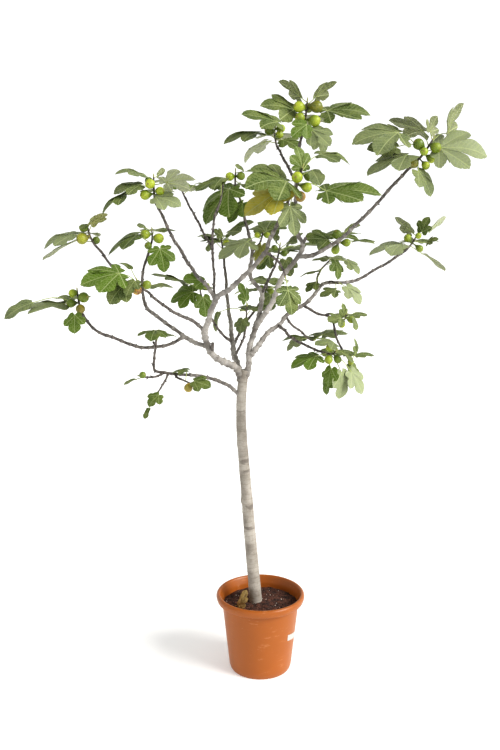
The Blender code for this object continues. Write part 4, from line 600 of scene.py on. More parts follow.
def turns():
    """The part's own order of trying turns and longer stalks for a leaf that is in the way."""
    for reach in STALK_REACHES:
        yield 0, 0, reach
    for step in TURN_STEPS:
        for reach in STALK_REACHES:
            for swing, lift in TURN_WAYS:
                yield swing * step, lift * step, reach


def turned_leaf(root, foot, tip, faces, turn):
    swing, lift, reach = turn
    level = (tip - root).cross(Vector(UP)).normalized()
    spin = Matrix.Rotation(math.radians(swing), 3, "Z") @ Matrix.Rotation(math.radians(lift), 3, level)
    outward = (reach - 1) * (foot - root)
    foot, tip = (root + spin @ (end - root + outward) for end in (foot, tip))
    return foot, tip, spin @ Vector(faces)


def blade_frame(foot, tip, faces):
    along = (tip - foot).normalized()
    upper = (Vector(faces) - Vector(faces).dot(along) * along).normalized()
    return along.cross(upper), along, upper


def placed_leaf(name, index, root):
    """The leaf's foot, tip and facing where the shoot's own solid has a corner at its tip."""
    corners = [vertex.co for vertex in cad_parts[f"leafy_shoot_{name}"].data.vertices]
    heart = metres(SHOOTS[name][0])
    foot, tip, faces, _ = SHOOTS[name][3][index]
    for turn in turns():
        leaf = turned_leaf(root, heart + metres(foot), heart + metres(tip), faces, turn)
        tip_corner = leaf[1] + CAD_HALF_BLADE * blade_frame(*leaf)[2]
        if any((corner - tip_corner).length < TURN_MATCH for corner in corners):
            return leaf
    raise ValueError(f"leaf {index} of {name} isn't where its solid is")


def lobe_turned(angle, first, second):
    """(Down a lobe, aside from it) as (across, along) the blade, and the same the other way round."""
    turn = math.radians(angle)
    return first * math.sin(turn) + second * math.cos(turn), first * math.cos(turn) - second * math.sin(turn)


def blade_outline(lobes, draw):
    """The toothed edge as (across, along, lobe), from one side of the base round to the other."""
    base = BLADE_BASE[lobes]
    knots = [(*lobe_turned(-angle, reach, 0.0), 0) for angle, reach in reversed(base)]
    sinus = SINUS[lobes] + draw.uniform(-SINUS_SPREAD, SINUS_SPREAD)
    before = 0.0
    for lobe, (angle, length, width) in enumerate(LOBES[lobes]):
        if lobe:
            knots.append((*lobe_turned((before + angle) / 2, sinus, 0.0), lobe))
        if angle:
            length *= 1 + draw.uniform(-LOBE_SPREAD, LOBE_SPREAD)
            angle += draw.uniform(-LOBE_TURN, LOBE_TURN)
        width *= length * (1 + draw.uniform(-WIDTH_SPREAD, WIDTH_SPREAD))
        sides = [(reach * length, -share * width) for reach, share in LOBE_SHAPE]
        sides += [(length, 0.0)] + [(reach, -aside) for reach, aside in reversed(sides)]
        knots += [(*lobe_turned(angle, reach, aside), lobe) for reach, aside in sides]
        before = angle
    return toothed(knots + [(*lobe_turned(angle, reach, 0.0), lobe) for angle, reach in base])


def toothed(knots):
    """The knots joined by a smooth curve with small rounded teeth."""
    outline = []
    for (_, _, lobe), four in zip(knots, stretches([Vector(knot[:2]) for knot in knots])):
        for index in range(LOBE_SAMPLES):
            point = curve(*four, index / LOBE_SAMPLES)
            if len(outline) % TOOTH_EVERY == 0:
                point -= TOOTH * point.normalized()
            outline.append((point.x, point.y, lobe))
    return outline + [knots[-1]]


class Blade:
    """One leaf's blade: its place, its outline, and how it arches, folds and waves."""

    def __init__(self, foot, tip, faces, lobes, draw):
        self.foot = foot
        self.length = (tip - foot).length
        self.axes = blade_frame(foot, tip, faces)
        self.outline = blade_outline(lobes, draw)
        self.wave = draw.uniform(3.0, 6.0), draw.uniform(0.0, 6.3)
        self.angles = [angle for angle, _, _ in LOBES[lobes]]
        self.bends = [draw.uniform(-3.0, 1.0) * LOBE_BEND for _ in self.angles]

    def lift(self, edge, share):
        """How high it lies over its flat, in its lengths, at a share of the way to its edge."""

        def arched(x, y):
            return 4 * BLADE_ARCH * y * (1 - y) - BLADE_HANG * x * x

        x, y, lobe = edge
        down, aside = lobe_turned(self.angles[lobe], share * x, share * y)
        aside = abs(aside)
        ruled = share * arched(x, y)
        lift = ruled + INNER_ARCH * (arched(share * x, share * y) - ruled)
        lift += LOBE_FOLD * min(aside, FOLD_ENDS)
        vein = SIDE_VEINS * (down - VEIN_SLANT * aside)
        lift -= QUILT * share * abs(math.sin(math.pi * vein)) * min(1.0, aside / QUILT_STARTS)
        lift += self.bends[lobe] * max(0.0, down - BEND_STARTS) ** 2
        return lift + MARGIN_WAVE * share ** 3 * math.sin(self.wave[0] * math.atan2(x, y) + self.wave[1])

    def point(self, edge, share, raised):
        side, along, upper = self.axes
        flat = share * (edge[0] * side + edge[1] * along)
        return self.foot + self.length * (flat + self.lift(edge, share) * upper) + raised * upper

    def veins(self):
        """Paths just under the blade from its foot to each lobe's tip, the midrib's first."""
        paths = []
        for lobe, angle in sorted(enumerate(self.angles), key=lambda pair: abs(pair[1])):
            edges = [edge for edge in self.outline if edge[2] == lobe]
            tip = max(edges, key=lambda edge: lobe_turned(angle, edge[0], edge[1])[0])
            paths.append([self.point(tip, share, -VEIN_DROP) for share in VEIN_SHARES])
        return paths


def add_blade(shape, blade, tint):
    """A closed blade: an upper face, an under face and the thin rim between them."""
    outline = blade.outline
    count, last = len(outline), len(BLADE_RINGS) - 1
    over, under = (
        shape.add_points([blade.foot + raised * blade.axes[2]] + [
            blade.point(edge, share, raised) for share in BLADE_RINGS[1:] for edge in outline])
        for raised in (BLADE_HALF, -BLADE_HALF))

    def add(places, lobe, slot):
        corners = [start + (1 + (row - 1) * count + spot if row else 0) for start, row, spot in places]
        flat = [(BLADE_RINGS[row] * outline[spot][0], BLADE_RINGS[row] * outline[spot][1])
                for _, row, spot in places]
        angle = blade.angles[lobe]
        shape.face(corners, slot, tint, [(*lobe_turned(angle, x, y), blade.length) for x, y in flat])

    for row in range(last):
        for spot in range(count - 1):
            places = [(row, spot), (row + 1, spot), (row + 1, spot + 1), (row, spot + 1)]
            places = places if row else places[:3]
            add([(under, *place) for place in places], outline[spot][2], UNDER)
            add([(over, *place) for place in reversed(places)], outline[spot][2], UPPER)
    edge = [(row, 0) for row in range(last)] + [(last, spot) for spot in range(count)]
    edge += [(row, count - 1) for row in range(last - 1, -1, -1)]
    for one, two in zip(edge, edge[1:]):
        add([(over, *one), (over, *two), (under, *two), (under, *one)], 0, UPPER)


def add_leaf(shape, root, blade, tint):
    """A stalk that runs on into the midrib, the side lobes' veins, and the blade."""
    add_blade(shape, blade, tint)
    midrib, *others = blade.veins()
    stalk = smooth_path(stalk_points(root, blade.foot), STALK_STEP)
    turn = len(stalk) - 1
    radii = [STALK_RADIUS * (1.25 - 0.3 * index / turn) for index in range(turn + 1)]
    tapers = [VEIN_RADIUS * (1.0 - 0.8 * share) for share in VEIN_SHARES]
    add_tube(shape, stalk + midrib[1:], radii + tapers[1:], STALK_SIDES, GREEN, tint)
    for vein in others:
        add_tube(shape, vein, [0.8 * taper for taper in tapers], VEIN_SIDES, GREEN, tint)


def add_fig(shape, root, middle, radius, tint):
    """A pear-shaped fig on its neck, with a small rimmed eye at the far end."""
    axis = (middle - root).normalized()
    axes = axis.orthogonal().normalized(), axis.cross(axis.orthogonal().normalized())
    neck = -(middle - root).length / radius
    profile = [(neck, FIG_PROFILE[0][1])] + [place for place in FIG_PROFILE if place[0] > neck + 0.05]
    ribs = [1 + FIG_RIB * math.cos(FIG_RIBS * 2 * math.pi * spot / FIG_SIDES) for spot in range(FIG_SIDES)]
    rings = [ring_points(middle + reach * radius * axis, axes, [radius * width * rib for rib in ribs])
             for reach, width in profile]
    along = [reach for reach, _ in profile]
    split = next(index for index, reach in enumerate(along) if reach > FIG_EYE_STARTS)
    girth = [radius] * len(rings)
    shape.rings(rings[:split + 1], FIG, tint, along[:split + 1], girth)
    shape.rings(rings[split:], EYE_OF_FIG, tint, along[split:], girth)


def stem_radius(start, share):
    """The stem thins slowly at first, and then to its tip."""
    if share < STEM_EVEN:
        return start * (1 - STEM_TAPER * share)
    even = start * (1 - STEM_TAPER * STEM_EVEN)
    return even + (STEM_TIP_RADIUS - even) * (share - STEM_EVEN) / (1 - STEM_EVEN)


def add_stem(shape, name, points):
    """The year's shoot, woody below and green above, with its rings and its end bud."""
    path = smooth_path(points, STEM_STEP)
    lengths = lengths_along(path)
    radii = [stem_radius(BRANCHES[name][1] / 1000, length / lengths[-1])
             * (1 + STEM_RIPPLE * math.cos(2 * math.pi * length / STEM_RING)) for length in lengths]
    split = min(int(len(path) * STEM_WOODY), len(path) - 2)
    add_tube(shape, path[:split + 1], radii[:split + 1], STEM_SIDES, BARK)
    add_tube(shape, path[split:], radii[split:], STEM_SIDES, GREEN)
    ahead = (path[-1] - path[-2]).normalized()
    bud = [path[-1] + reach * ahead for reach, _ in END_BUD]
    add_tube(shape, bud, [radius for _, radius in END_BUD], STEM_SIDES, GREEN)


def leaf_tint(name, index, draw):
    """Paleness, which on the listed leaves is painted light, yellowness and a number of its own for each
    leaf.
    """
    pale = PAINTED_LIGHT_LEAF_TONES.get((name, index), draw.uniform(0.25, 0.65))
    return pale, YELLOW_LEAVES.get((name, index), 0.0), draw.uniform(0.0, 1.0)


def make_shoot(name, materials):
    shape = Shape()
    heart, _, figs, leaves = SHOOTS[name]
    points = stem_points(name)
    add_stem(shape, name, points)
    for index, (x, y, z, radius) in enumerate(figs):
        draw = random.Random(f"fig {name} {index}")
        middle = metres(heart) + metres((x, y, z))
        # The first tint number runs from dark to yellow: partly the fig's own tone, partly painted shade and
        # light
        tint = draw.uniform(0.0, 1.0), RIPE_FIGS.get((name, index), 0.0), draw.uniform(0.0, 1.0)
        add_fig(shape, nearest_on_stem(points, middle), middle, radius / 1000, tint)
    for index, (_, _, _, lobes) in enumerate(leaves):
        root = stem_at(points, FIRST_LEAF + (LAST_LEAF - FIRST_LEAF) * index / max(len(leaves) - 1, 1))
        foot, tip, faces = placed_leaf(name, index, root)
        tip = foot.lerp(tip, SHORTER_BLADES.get((name, index), 1.0))
        blade = Blade(foot, tip, faces, lobes, random.Random(f"{name} {index}"))
        add_leaf(shape, root, blade, leaf_tint(name, index, random.Random(f"tint {name} {index}")))
    piece = shape.build(f"shoot_{name}", materials)
    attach(piece, "root")
    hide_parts(f"leafy_shoot_{name}")


def branch_radii(lengths, start, end, draw):
    """A taper with a collar where the branch starts, rings at its nodes and small irregularities."""
    whole = lengths[-1]
    seed = draw.uniform(0, 50)
    nodes = []
    place = draw.uniform(*FIRST_NODE)
    while place < whole:
        nodes.append(place)
        place += draw.uniform(*NODE_SPACING)
    radii = []
    for length in lengths:
        radius = start + (end - start) * length / whole
        radius *= 1 + COLLAR * math.exp(-length / (2.0 * start))
        radius *= 1 + NODE_SWELL * sum(math.exp(-((length - node) / NODE_LENGTH) ** 2) for node in nodes)
        radii.append(radius * (1 + UNEVEN * noise.noise(Vector((length * UNEVEN_PER_METRE, seed, 0)))))
    return radii, nodes


def crooked(path):
    """The path with small bends, which fade out at its ends."""
    lengths = lengths_along(path)
    shares = [min(1.0, length / BEND_FADE, (lengths[-1] - length) / BEND_FADE) for length in lengths]
    return [point + BEND * share * noise.noise_vector(point * BENDS_PER_METRE)
            for point, share in zip(path, shares)]


def add_branch(shape, name):
    start, end, points = BRANCHES[name]
    start, end = start / 1000 * THICKER.get(name, 1.0), end / 1000
    draw = random.Random(f"branch {name}")
    path = crooked(smooth_path([metres(point) for point in points], BRANCH_STEP))
    lengths = lengths_along(path)
    radii, nodes = branch_radii(lengths, start, end, draw)
    sides = LIMB_SIDES if start > LIMB_RADIUS else TWIG_SIDES
    add_tube(shape, path, radii, sides, 0, (draw.random(), 0.0, draw.random()))
    for count, node in enumerate(nodes):
        spot = min(range(len(path)), key=lambda index: abs(lengths[index] - node))
        if 0 < spot < len(path) - 1 and radii[spot] < BUD_LIMIT:
            add_bud(shape, path, radii[spot], spot, count, draw)


def add_bud(shape, path, radius, spot, count, draw):
    """A pointed side bud over a leaf scar. Each is a part turn round the twig from the one before."""
    way = (path[spot + 1] - path[spot - 1]).normalized()
    spin = Matrix.Rotation(count * BUD_TURN + draw.uniform(-0.4, 0.4), 3, way)
    out = (spin @ way.orthogonal()).normalized()
    foot = path[spot] + 0.6 * radius * out
    lean = (out + 0.9 * way).normalized()
    size = draw.uniform(*BUD_LENGTH)
    bud = [foot + reach * size * lean for reach, _ in SIDE_BUD]
    add_tube(shape, bud, [thick for _, thick in SIDE_BUD], 6, 0, (0.3, 0.0, 0.5))


def trunk_swell(here, length, angle, knots):
    """The bark's unevenness, its faint rings and the knots."""
    swell = 0.0009 * noise.noise(here * 18) + 0.0005 * noise.noise(here * 70)
    swell += 0.0003 * math.sin(2 * math.pi * length / TRUNK_RING + 3 * noise.noise(here * 9))
    for place, side, size in knots:
        turn = (angle - side + math.pi) % (2 * math.pi) - math.pi
        swell += size * math.exp(-((length - place) / KNOT_LENGTH) ** 2 - (turn / KNOT_TURN) ** 2)
    return swell


def make_trunk(shape):
    """The bare trunk, with rings, small swellings and the knots of old side shoots."""
    path = smooth_path([metres(point) for point in TRUNK], TRUNK_STEP)
    lengths = lengths_along(path)
    whole = lengths[-1]
    draw = random.Random("trunk")
    knots = [(draw.uniform(0.2, whole - 0.1), draw.uniform(0, 6.3), draw.uniform(0.0015, 0.0035))
             for _ in range(TRUNK_KNOTS)]
    radii = [TRUNK_FOOT_RADIUS + (TRUNK_TOP_RADIUS - TRUNK_FOOT_RADIUS)
             * max(0.0, length - FOOT_LENGTH) / (whole - FOOT_LENGTH) for length in lengths]
    rings = []
    for point, length, radius, axes in zip(path, lengths, radii, ring_frames(path)):
        skin = ring_points(point, axes, [radius] * TRUNK_SIDES)
        swells = [trunk_swell(here, length, 2 * math.pi * spot / TRUNK_SIDES, knots)
                  for spot, here in enumerate(skin)]
        rings.append(ring_points(point, axes, [radius + swell for swell in swells]))
    shape.rings(rings, 0, MIDDLE_TINT, lengths, radii)


def make_wood(bark):
    noise.seed_set(BEND_SEED)
    shape = Shape()
    make_trunk(shape)
    for name in BRANCHES:
        add_branch(shape, name)
    for index, (radius, points) in enumerate(STUBS):
        path = smooth_path([metres(point) for point in points], BRANCH_STEP)
        radii = [radius / 1000] * (len(path) - 1) + [radius / 1000 * STUB_TAPER]
        add_tube(shape, path, radii, TWIG_SIDES, 0, (0.9, 0.0, index / len(STUBS)))
    wood = shape.build("bark", [bark])
    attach(wood, "root")
    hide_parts("trunk_and_branches")


def wall_radius(height):
    share = (height - POT_FOOT_HEIGHT) / (POT_HEIGHT - POT_LIP_DEPTH - POT_FOOT_HEIGHT)
    return POT_FOOT_RADIUS + share * (POT_NECK_RADIUS - POT_FOOT_RADIUS)


def rounded(profile, steps=4):
    """The profile of (radius, height, cut) with each corner made a curve that starts that far off."""
    corners = [Vector((radius, height)) for radius, height, _ in profile]
    line = [corners[0]]
    for before, corner, after, (_, _, reach) in zip(corners, corners[1:], corners[2:], profile[1:]):
        start = corner + reach * (before - corner).normalized()
        end = corner + reach * (after - corner).normalized()
        for share in (index / steps for index in range(steps + 1)):
            line.append((1 - share) ** 2 * start + 2 * share * (1 - share) * corner + share ** 2 * end)
    return line + [corners[-1]]


def lathe(shape, line, sides, tint, moved=lambda point: point):
    """A solid of revolution from a line of (radius, height) that starts and ends at the axis."""
    turns = [-2 * math.pi * spot / sides for spot in range(sides)]
    rings = [[moved(Vector((radius * math.cos(turn), radius * math.sin(turn), height))) for turn in turns]
             for radius, height in line]
    shape.rings(rings, 0, tint, [height for _, height in line], [radius for radius, _ in line])


def make_pot(plastic):
    lip_bottom = POT_HEIGHT - POT_LIP_DEPTH
    inside_foot = wall_radius(POT_FOOT_HEIGHT) - POT_WALL
    low, high = POT_FOOT_HEIGHT + 0.006, lip_bottom - 0.012
    wall = [high + (low - high) * step / WALL_STEPS for step in range(WALL_STEPS + 1)]
    profile = [
        (AT_AXIS, POT_FLOOR, 0.0),
        (inside_foot - 0.004, POT_FLOOR, 0.002),
        (inside_foot, POT_FOOT_HEIGHT, 0.003),
        (POT_NECK_RADIUS - POT_WALL, lip_bottom, 0.006),
        (POT_MOUTH_RADIUS, POT_HEIGHT - 0.006, 0.003),
        (POT_CREST_RADIUS, POT_HEIGHT, 0.003),
        (POT_LIP_RADIUS - 0.006, POT_HEIGHT, 0.004),
        (POT_LIP_RADIUS - 0.0005, POT_HEIGHT - 0.008, 0.005),
        (POT_LIP_RADIUS - 0.0015, POT_HEIGHT - 0.019, 0.005),
        (POT_LIP_RADIUS - 0.0055, lip_bottom, 0.0015),
        (POT_LIP_RADIUS - 0.0075, lip_bottom - 0.0004, 0.0006),
        (POT_NECK_RADIUS + 0.0025, lip_bottom + 0.0015, 0.0015),
        (POT_NECK_RADIUS + 0.0002, lip_bottom - 0.004, 0.0015),
        *((wall_radius(height), height, 0.0005) for height in wall),
        (POT_FOOT_RADIUS - 0.0005, POT_FOOT_HEIGHT, 0.003),
        (POT_BASE_RADIUS + 0.0015, 0.003, 0.002),
        (POT_BASE_RADIUS - 0.001, 0.0, 0.001),
        (AT_AXIS, 0.0, 0.0),
    ]
    shape = Shape()
    lathe(shape, rounded(profile), POT_SIDES, MIDDLE_TINT)
    pot = shape.build("pot_shell", [plastic])
    cut_openings(pot)
    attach(pot, "root")
    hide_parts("pot")


def cut_openings(pot):
    """The drain holes in the floor and the shallow notches round the foot."""
    shape = Shape()
    for index in range(DRAIN_HOLES):
        angle = 2 * math.pi * index / DRAIN_HOLES
        middle = Vector((DRAIN_CIRCLE * math.cos(angle), DRAIN_CIRCLE * math.sin(angle), 0.0))
        path = [middle + Vector((0.0, 0.0, height)) for height in (-0.01, POT_FLOOR + 0.01)]
        add_tube(shape, path, [DRAIN_RADIUS] * 2, 24)
    for index in range(FOOT_NOTCHES):
        angle = 2 * math.pi * (index + 0.35) / FOOT_NOTCHES
        out = Vector((math.cos(angle), math.sin(angle), 0.0))
        path = [out * (POT_BASE_RADIUS - 0.006), out * (POT_BASE_RADIUS + 0.02)]
        add_tube(shape, path, [FOOT_NOTCH_RADIUS] * 2, 16)
    cutter = shape.build("pot_cutter", [])
    boolean = pot.modifiers.new("openings", "BOOLEAN")
    boolean.operation = "DIFFERENCE"
    boolean.solver = "EXACT"
    boolean.object = cutter
    mesh = bpy.data.meshes.new_from_object(pot.evaluated_get(bpy.context.evaluated_depsgraph_get()))
    pot.modifiers.clear()
    pot.data = mesh
    bpy.data.objects.remove(cutter, do_unlink=True)


def make_label(paper):
    """A thin blank sticker bent round the pot's wall."""
    outside = [(row, LABEL_LIFT + LABEL_THICK) for row in range(LABEL_ROWS, -1, -1)]
    inside = [(row, LABEL_LIFT) for row in range(LABEL_ROWS + 1)]
    rings = []
    for share in (column / LABEL_COLUMNS for column in range(LABEL_COLUMNS + 1)):
        angle = math.radians(LABEL_TURNS[0] + share * (LABEL_TURNS[1] - LABEL_TURNS[0]))
        middle = LABEL_HEIGHTS[0] + share * (LABEL_HEIGHTS[1] - LABEL_HEIGHTS[0])
        ring = []
        for row, lift in outside + inside:
            height = middle + LABEL_TALL * (row / LABEL_ROWS - 0.5)
            radius = wall_radius(height) + lift
            ring.append(Vector((radius * math.cos(angle), radius * math.sin(angle), height)))
        rings.append(ring)
    shape = Shape()
    shape.rings(rings, 0, MIDDLE_TINT, [0.0] * len(rings), [0.0] * len(rings))
    label = shape.build("blank_label", [paper])
    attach(label, "root")
    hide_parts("label")


def soil_height(x, y):
    """The mounded, lumpy top of the soil."""
    share = min(1.0, math.hypot(x, y) / SOIL_RADIUS)
    height = SOIL_EDGE_HEIGHT + SOIL_MOUND * math.cos(share * math.pi / 2)
    height += SOIL_BUMP * math.sin(71 * x + 1.3) * math.cos(63 * y + 0.4)
    place = Vector((x, y, 0.0))
    return height + 0.0022 * noise.noise(place * 70) + 0.0014 * noise.noise(place * 190)


def make_soil(earth):
    shape = Shape()
    foot = POT_FOOT_RADIUS - POT_WALL - 0.0012
    line = [(AT_AXIS + SOIL_RADIUS * ring / SOIL_RINGS, SOIL_EDGE_HEIGHT) for ring in range(SOIL_RINGS + 1)]
    line += [(SOIL_RADIUS - 0.0005, SOIL_EDGE_HEIGHT - 0.01), (foot, POT_FOOT_HEIGHT),
             (foot - 0.006, POT_FLOOR + GAP), (AT_AXIS, POT_FLOOR + GAP)]

    def moved(point):
        if point.z < SOIL_EDGE_HEIGHT - 0.001:
            return point
        return Vector((point.x, point.y, soil_height(point.x, point.y)))

    lathe(shape, line, SOIL_SIDES, (0.35, 0.0, 0.0), moved)
    draw = random.Random("clods")
    template = ball()
    for _ in range(CLODS):
        radius, angle = SOIL_RADIUS * 0.97 * math.sqrt(draw.random()), draw.uniform(0, 2 * math.pi)
        x, y = radius * math.cos(angle), radius * math.sin(angle)
        size = draw.uniform(*CLOD_SIZE) * draw.uniform(0.6, 1.0)
        pale = draw.random() < PALE_SPECKS
        place = Vector((x, y, soil_height(x, y)))
        add_clod(shape, template, place, size * (0.6 if pale else 1.0), pale, draw)
    soil = shape.build("soil_crumb", [earth])
    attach(soil, "root")
    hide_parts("soil")


def ball():
    """The corners and faces of a small round lump."""
    bm = bmesh.new()
    bmesh.ops.create_icosphere(bm, subdivisions=2, radius=1.0)
    corners = [vert.co.copy() for vert in bm.verts]
    faces = [[vert.index for vert in face.verts] for face in bm.faces]
    bm.free()
    return corners, faces


def add_clod(shape, template, place, size, pale, draw):
    corners, faces = template
    turn = Matrix.Rotation(draw.uniform(0, 6.3), 3, Vector((draw.random(), draw.random(), 1.0)).normalized())
    stretch = Vector((draw.uniform(0.7, 1.6), draw.uniform(0.7, 1.2), draw.uniform(0.5, 0.9)))
    seed = Vector((draw.uniform(0, 9), draw.uniform(0, 9), draw.uniform(0, 9)))
    first = shape.add_points([
        place + size * (1 + 0.35 * noise.noise(corner * 1.3 + seed)) * (turn @ (corner * stretch))
        for corner in corners])
    tint = (draw.random(), 1.0 if pale else 0.0, draw.random())
    for face in faces:
        shape.face([first + corner for corner in face], 0, tint, [(0.0, 0.0, 0.0)] * len(face))


def make_dry_leaf(materials):
    """Two curled, dry leaves on the soil against the foot of the trunk."""
    shape = Shape()
    for index, (root, foot, tip, faces) in enumerate(DRY_LEAVES):
        blade = Blade(metres(foot), metres(tip), faces, 3, random.Random(f"dry {index}"))
        add_leaf(shape, metres(root), blade, (0.6, 1.0, 0.3 + 0.4 * index))
    piece = shape.build("dry_leaf", materials)
    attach(piece, "root")


class Look:
    """A Principled material and short ways to add nodes to it."""

    def __init__(self, name):
        self.material = bpy.data.materials.new(name)
        self.material.use_nodes = True
        self.tree = self.material.node_tree
        self.shader = self.tree.nodes["Principled BSDF"]

    def node(self, kind, inputs, **settings):
        made = self.tree.nodes.new(kind)
        for key, value in settings.items():
            setattr(made, key, value)
        for key, value in inputs.items():
            self.put(made.inputs[key], value)
        return made

    def put(self, socket, value):
        if isinstance(value, bpy.types.NodeSocket):
            self.tree.links.new(value, socket)
        else:
            socket.default_value = value

    def set(self, **values):
        for key, value in values.items():
            self.put(self.shader.inputs[key.replace("_", " ")], value)

    def math(self, operation, first, second=0.0):
        return self.node("ShaderNodeMath", {0: first, 1: second}, operation=operation).outputs[0]

    def times(self, first, second):
        return self.math("MULTIPLY", first, second)

    def plus(self, first, second):
        return self.math("ADD", first, second)

    def span(self, value, low, high, to_low=0.0, to_high=1.0):
        """The value's place between two others, smoothed and limited to the ends."""
        inputs = {"Value": value, "From Min": low, "From Max": high, "To Min": to_low, "To Max": to_high}
        return self.node("ShaderNodeMapRange", inputs, interpolation_type="SMOOTHSTEP").outputs["Result"]

    def mix(self, factor, first, second):
        inputs = {0: factor, 6: paint(first), 7: paint(second)}
        return self.node("ShaderNodeMix", inputs, data_type="RGBA").outputs[2]

    def place(self, stretch=(1.0, 1.0, 1.0)):
        where = self.node("ShaderNodeTexCoord", {}).outputs["Object"]
        return self.node("ShaderNodeMapping", {"Vector": where, "Scale": stretch}).outputs[0]

    def noise(self, scale, detail=4.0, where=None):
        inputs = {"Vector": where or self.place(), "Scale": scale, "Detail": detail, "Roughness": 0.55}
        return self.node("ShaderNodeTexNoise", inputs).outputs[0]

    def cells(self, scale, feature="DISTANCE_TO_EDGE", where=None):
        inputs = {"Vector": where or self.place(), "Scale": scale}
        return self.node("ShaderNodeTexVoronoi", inputs, feature=feature).outputs["Distance"]

    def parts(self, name):
        """The three numbers of an attribute."""
        made = self.node("ShaderNodeAttribute", {}, attribute_name=name)
        return self.node("ShaderNodeSeparateXYZ", {0: made.outputs["Vector"]}).outputs[:3]

    def bump(self, height, strength, distance):
        made = self.node("ShaderNodeBump", {"Height": height, "Strength": strength, "Distance": distance})
        self.set(Normal=made.outputs[0])


def paint(colour):
    return (*colour, 1.0) if isinstance(colour, tuple) and len(colour) == 3 else colour


def leaf_look(name, dark, light, deep, pale, vein, yellow, vein_share, raised):
    """A leaf face: mottled green, with a midrib, side veins and the net between them."""
    look = Look(name)
    down, aside, _ = look.parts("pattern")
    bright, turned, _ = look.parts("tint")
    aside = look.math("ABSOLUTE", aside)
    step = look.times(look.math("SUBTRACT", down, look.times(aside, VEIN_SLANT)), SIDE_VEINS)
    step = look.plus(step, look.times(look.noise(28.0), 0.9))
    side = look.span(look.math("PINGPONG", step, 0.5), 0.02, 0.11, 1.0, 0.0)
    main = look.span(aside, 0.006, 0.016, 1.0, 0.0)
    net = look.span(look.cells(130.0), 0.0, 0.12, 1.0, 0.0)
    veins = look.math("MAXIMUM", main, look.times(side, 0.55))
    veins = look.math("MAXIMUM", veins, look.times(net, 0.42))
    patches = look.noise(22.0)
    mottle = look.noise(90.0, 6.0)
    green = look.mix(look.span(patches, 0.35, 0.65), dark, light)
    green = look.mix(look.times(mottle, 0.45), green, tuple(0.55 * c for c in dark))
    # Painted light: the deep colour stands in for light shining through a leaf and the pale one for sheen and
    # light falling on it; the listed leaves take their tone from a table, the rest at random
    green = look.mix(look.span(bright, 0.40, 0.0, 0.0, 0.75), green, deep)
    green = look.mix(look.span(bright, 0.40, 1.0, 0.0, 0.80), green, pale)
    dry = look.times(turned, look.span(look.noise(30.0), 0.25, 0.60, 0.55, 1.0))
    green = look.mix(dry, green, yellow)
    colour = look.mix(look.times(veins, vein_share), green, vein)
    look.set(Base_Color=colour, Roughness=look.span(mottle, 0.3, 0.7, 0.42, 0.62), Specular_IOR_Level=0.2)
    look.set(Subsurface_Weight=0.10, Subsurface_Radius=(0.002, 0.003, 0.0005))
    height = look.plus(look.times(veins, raised), look.times(mottle, 0.35))
    look.bump(height, 0.45, 0.0006)
    return look.material


def stalk_look():
    look = Look("green_stalk")
    along, _, _ = look.parts("pattern")
    _, turned, _ = look.parts("tint")
    streaks = look.noise(40.0, 5.0, look.place((1.0, 1.0, 0.35)))
    green = look.mix(streaks, (0.30, 0.38, 0.10), (0.44, 0.50, 0.20))
    green = look.mix(look.span(along, 0.0, 0.02, 0.35, 0.0), green, (0.30, 0.17, 0.07))
    look.set(Base_Color=look.mix(turned, green, (0.48, 0.36, 0.12)), Roughness=0.5)
    look.set(Subsurface_Weight=0.1, Subsurface_Radius=(0.002, 0.003, 0.001))
    look.bump(streaks, 0.2, 0.0005)
    return look.material


def fig_look():
    """A green fig's skin: fine ribs, pale flecks, a tone from yellow to dark green that is partly its own and
    partly painted light and shade, painted shade towards the neck and, on some, a ripe flush.
    """
    look = Look("fig_skin")
    along, around, _ = look.parts("pattern")
    bright, ripe, _ = look.parts("tint")
    ribs = look.math("SINE", look.times(around, 18.0))
    flecks = look.span(look.cells(420.0, "F1"), 0.10, 0.22, 1.0, 0.0)
    patches = look.noise(45.0)
    green = look.mix(look.span(patches, 0.3, 0.7), (0.23, 0.32, 0.018), (0.44, 0.50, 0.035))
    # Partly the fig's own tone, partly painted shade: figs with a low first tint number turn dark green, as
    # if in shade
    green = look.mix(look.span(bright, 0.80, 0.10, 0.0, 0.85), green, (0.070, 0.125, 0.008))
    # Painted shade: darker green towards the neck, where the fig's body shades it
    green = look.mix(look.span(along, -1.3, 0.5, 0.85, 0.0), green, (0.050, 0.085, 0.006))
    flush = look.mix(look.span(patches, 0.35, 0.6), (0.62, 0.36, 0.05), (0.17, 0.060, 0.035))
    turned = look.times(ripe, look.span(look.noise(25.0), 0.2, 0.55, 0.5, 1.0))
    green = look.mix(turned, green, flush)
    green = look.mix(look.times(flecks, 0.30), green, (0.66, 0.70, 0.30))
    look.set(Base_Color=look.mix(look.span(ribs, 0.6, 1.0, 0.0, 0.14), green, (0.60, 0.66, 0.20)))
    look.set(Roughness=look.span(patches, 0.3, 0.7, 0.34, 0.5), Subsurface_Weight=0.15)
    look.set(Subsurface_Radius=(0.006, 0.006, 0.002))
    look.bump(look.plus(look.times(ribs, 0.3), look.noise(160.0)), 0.25, 0.0006)
    return look.material


def fig_eye_look():
    look = Look("fig_eye")
    grain = look.noise(700.0)
    look.set(Base_Color=look.mix(grain, (0.17, 0.13, 0.03), (0.34, 0.30, 0.07)), Roughness=0.6)
    look.bump(grain, 0.4, 0.0005)
    return look.material


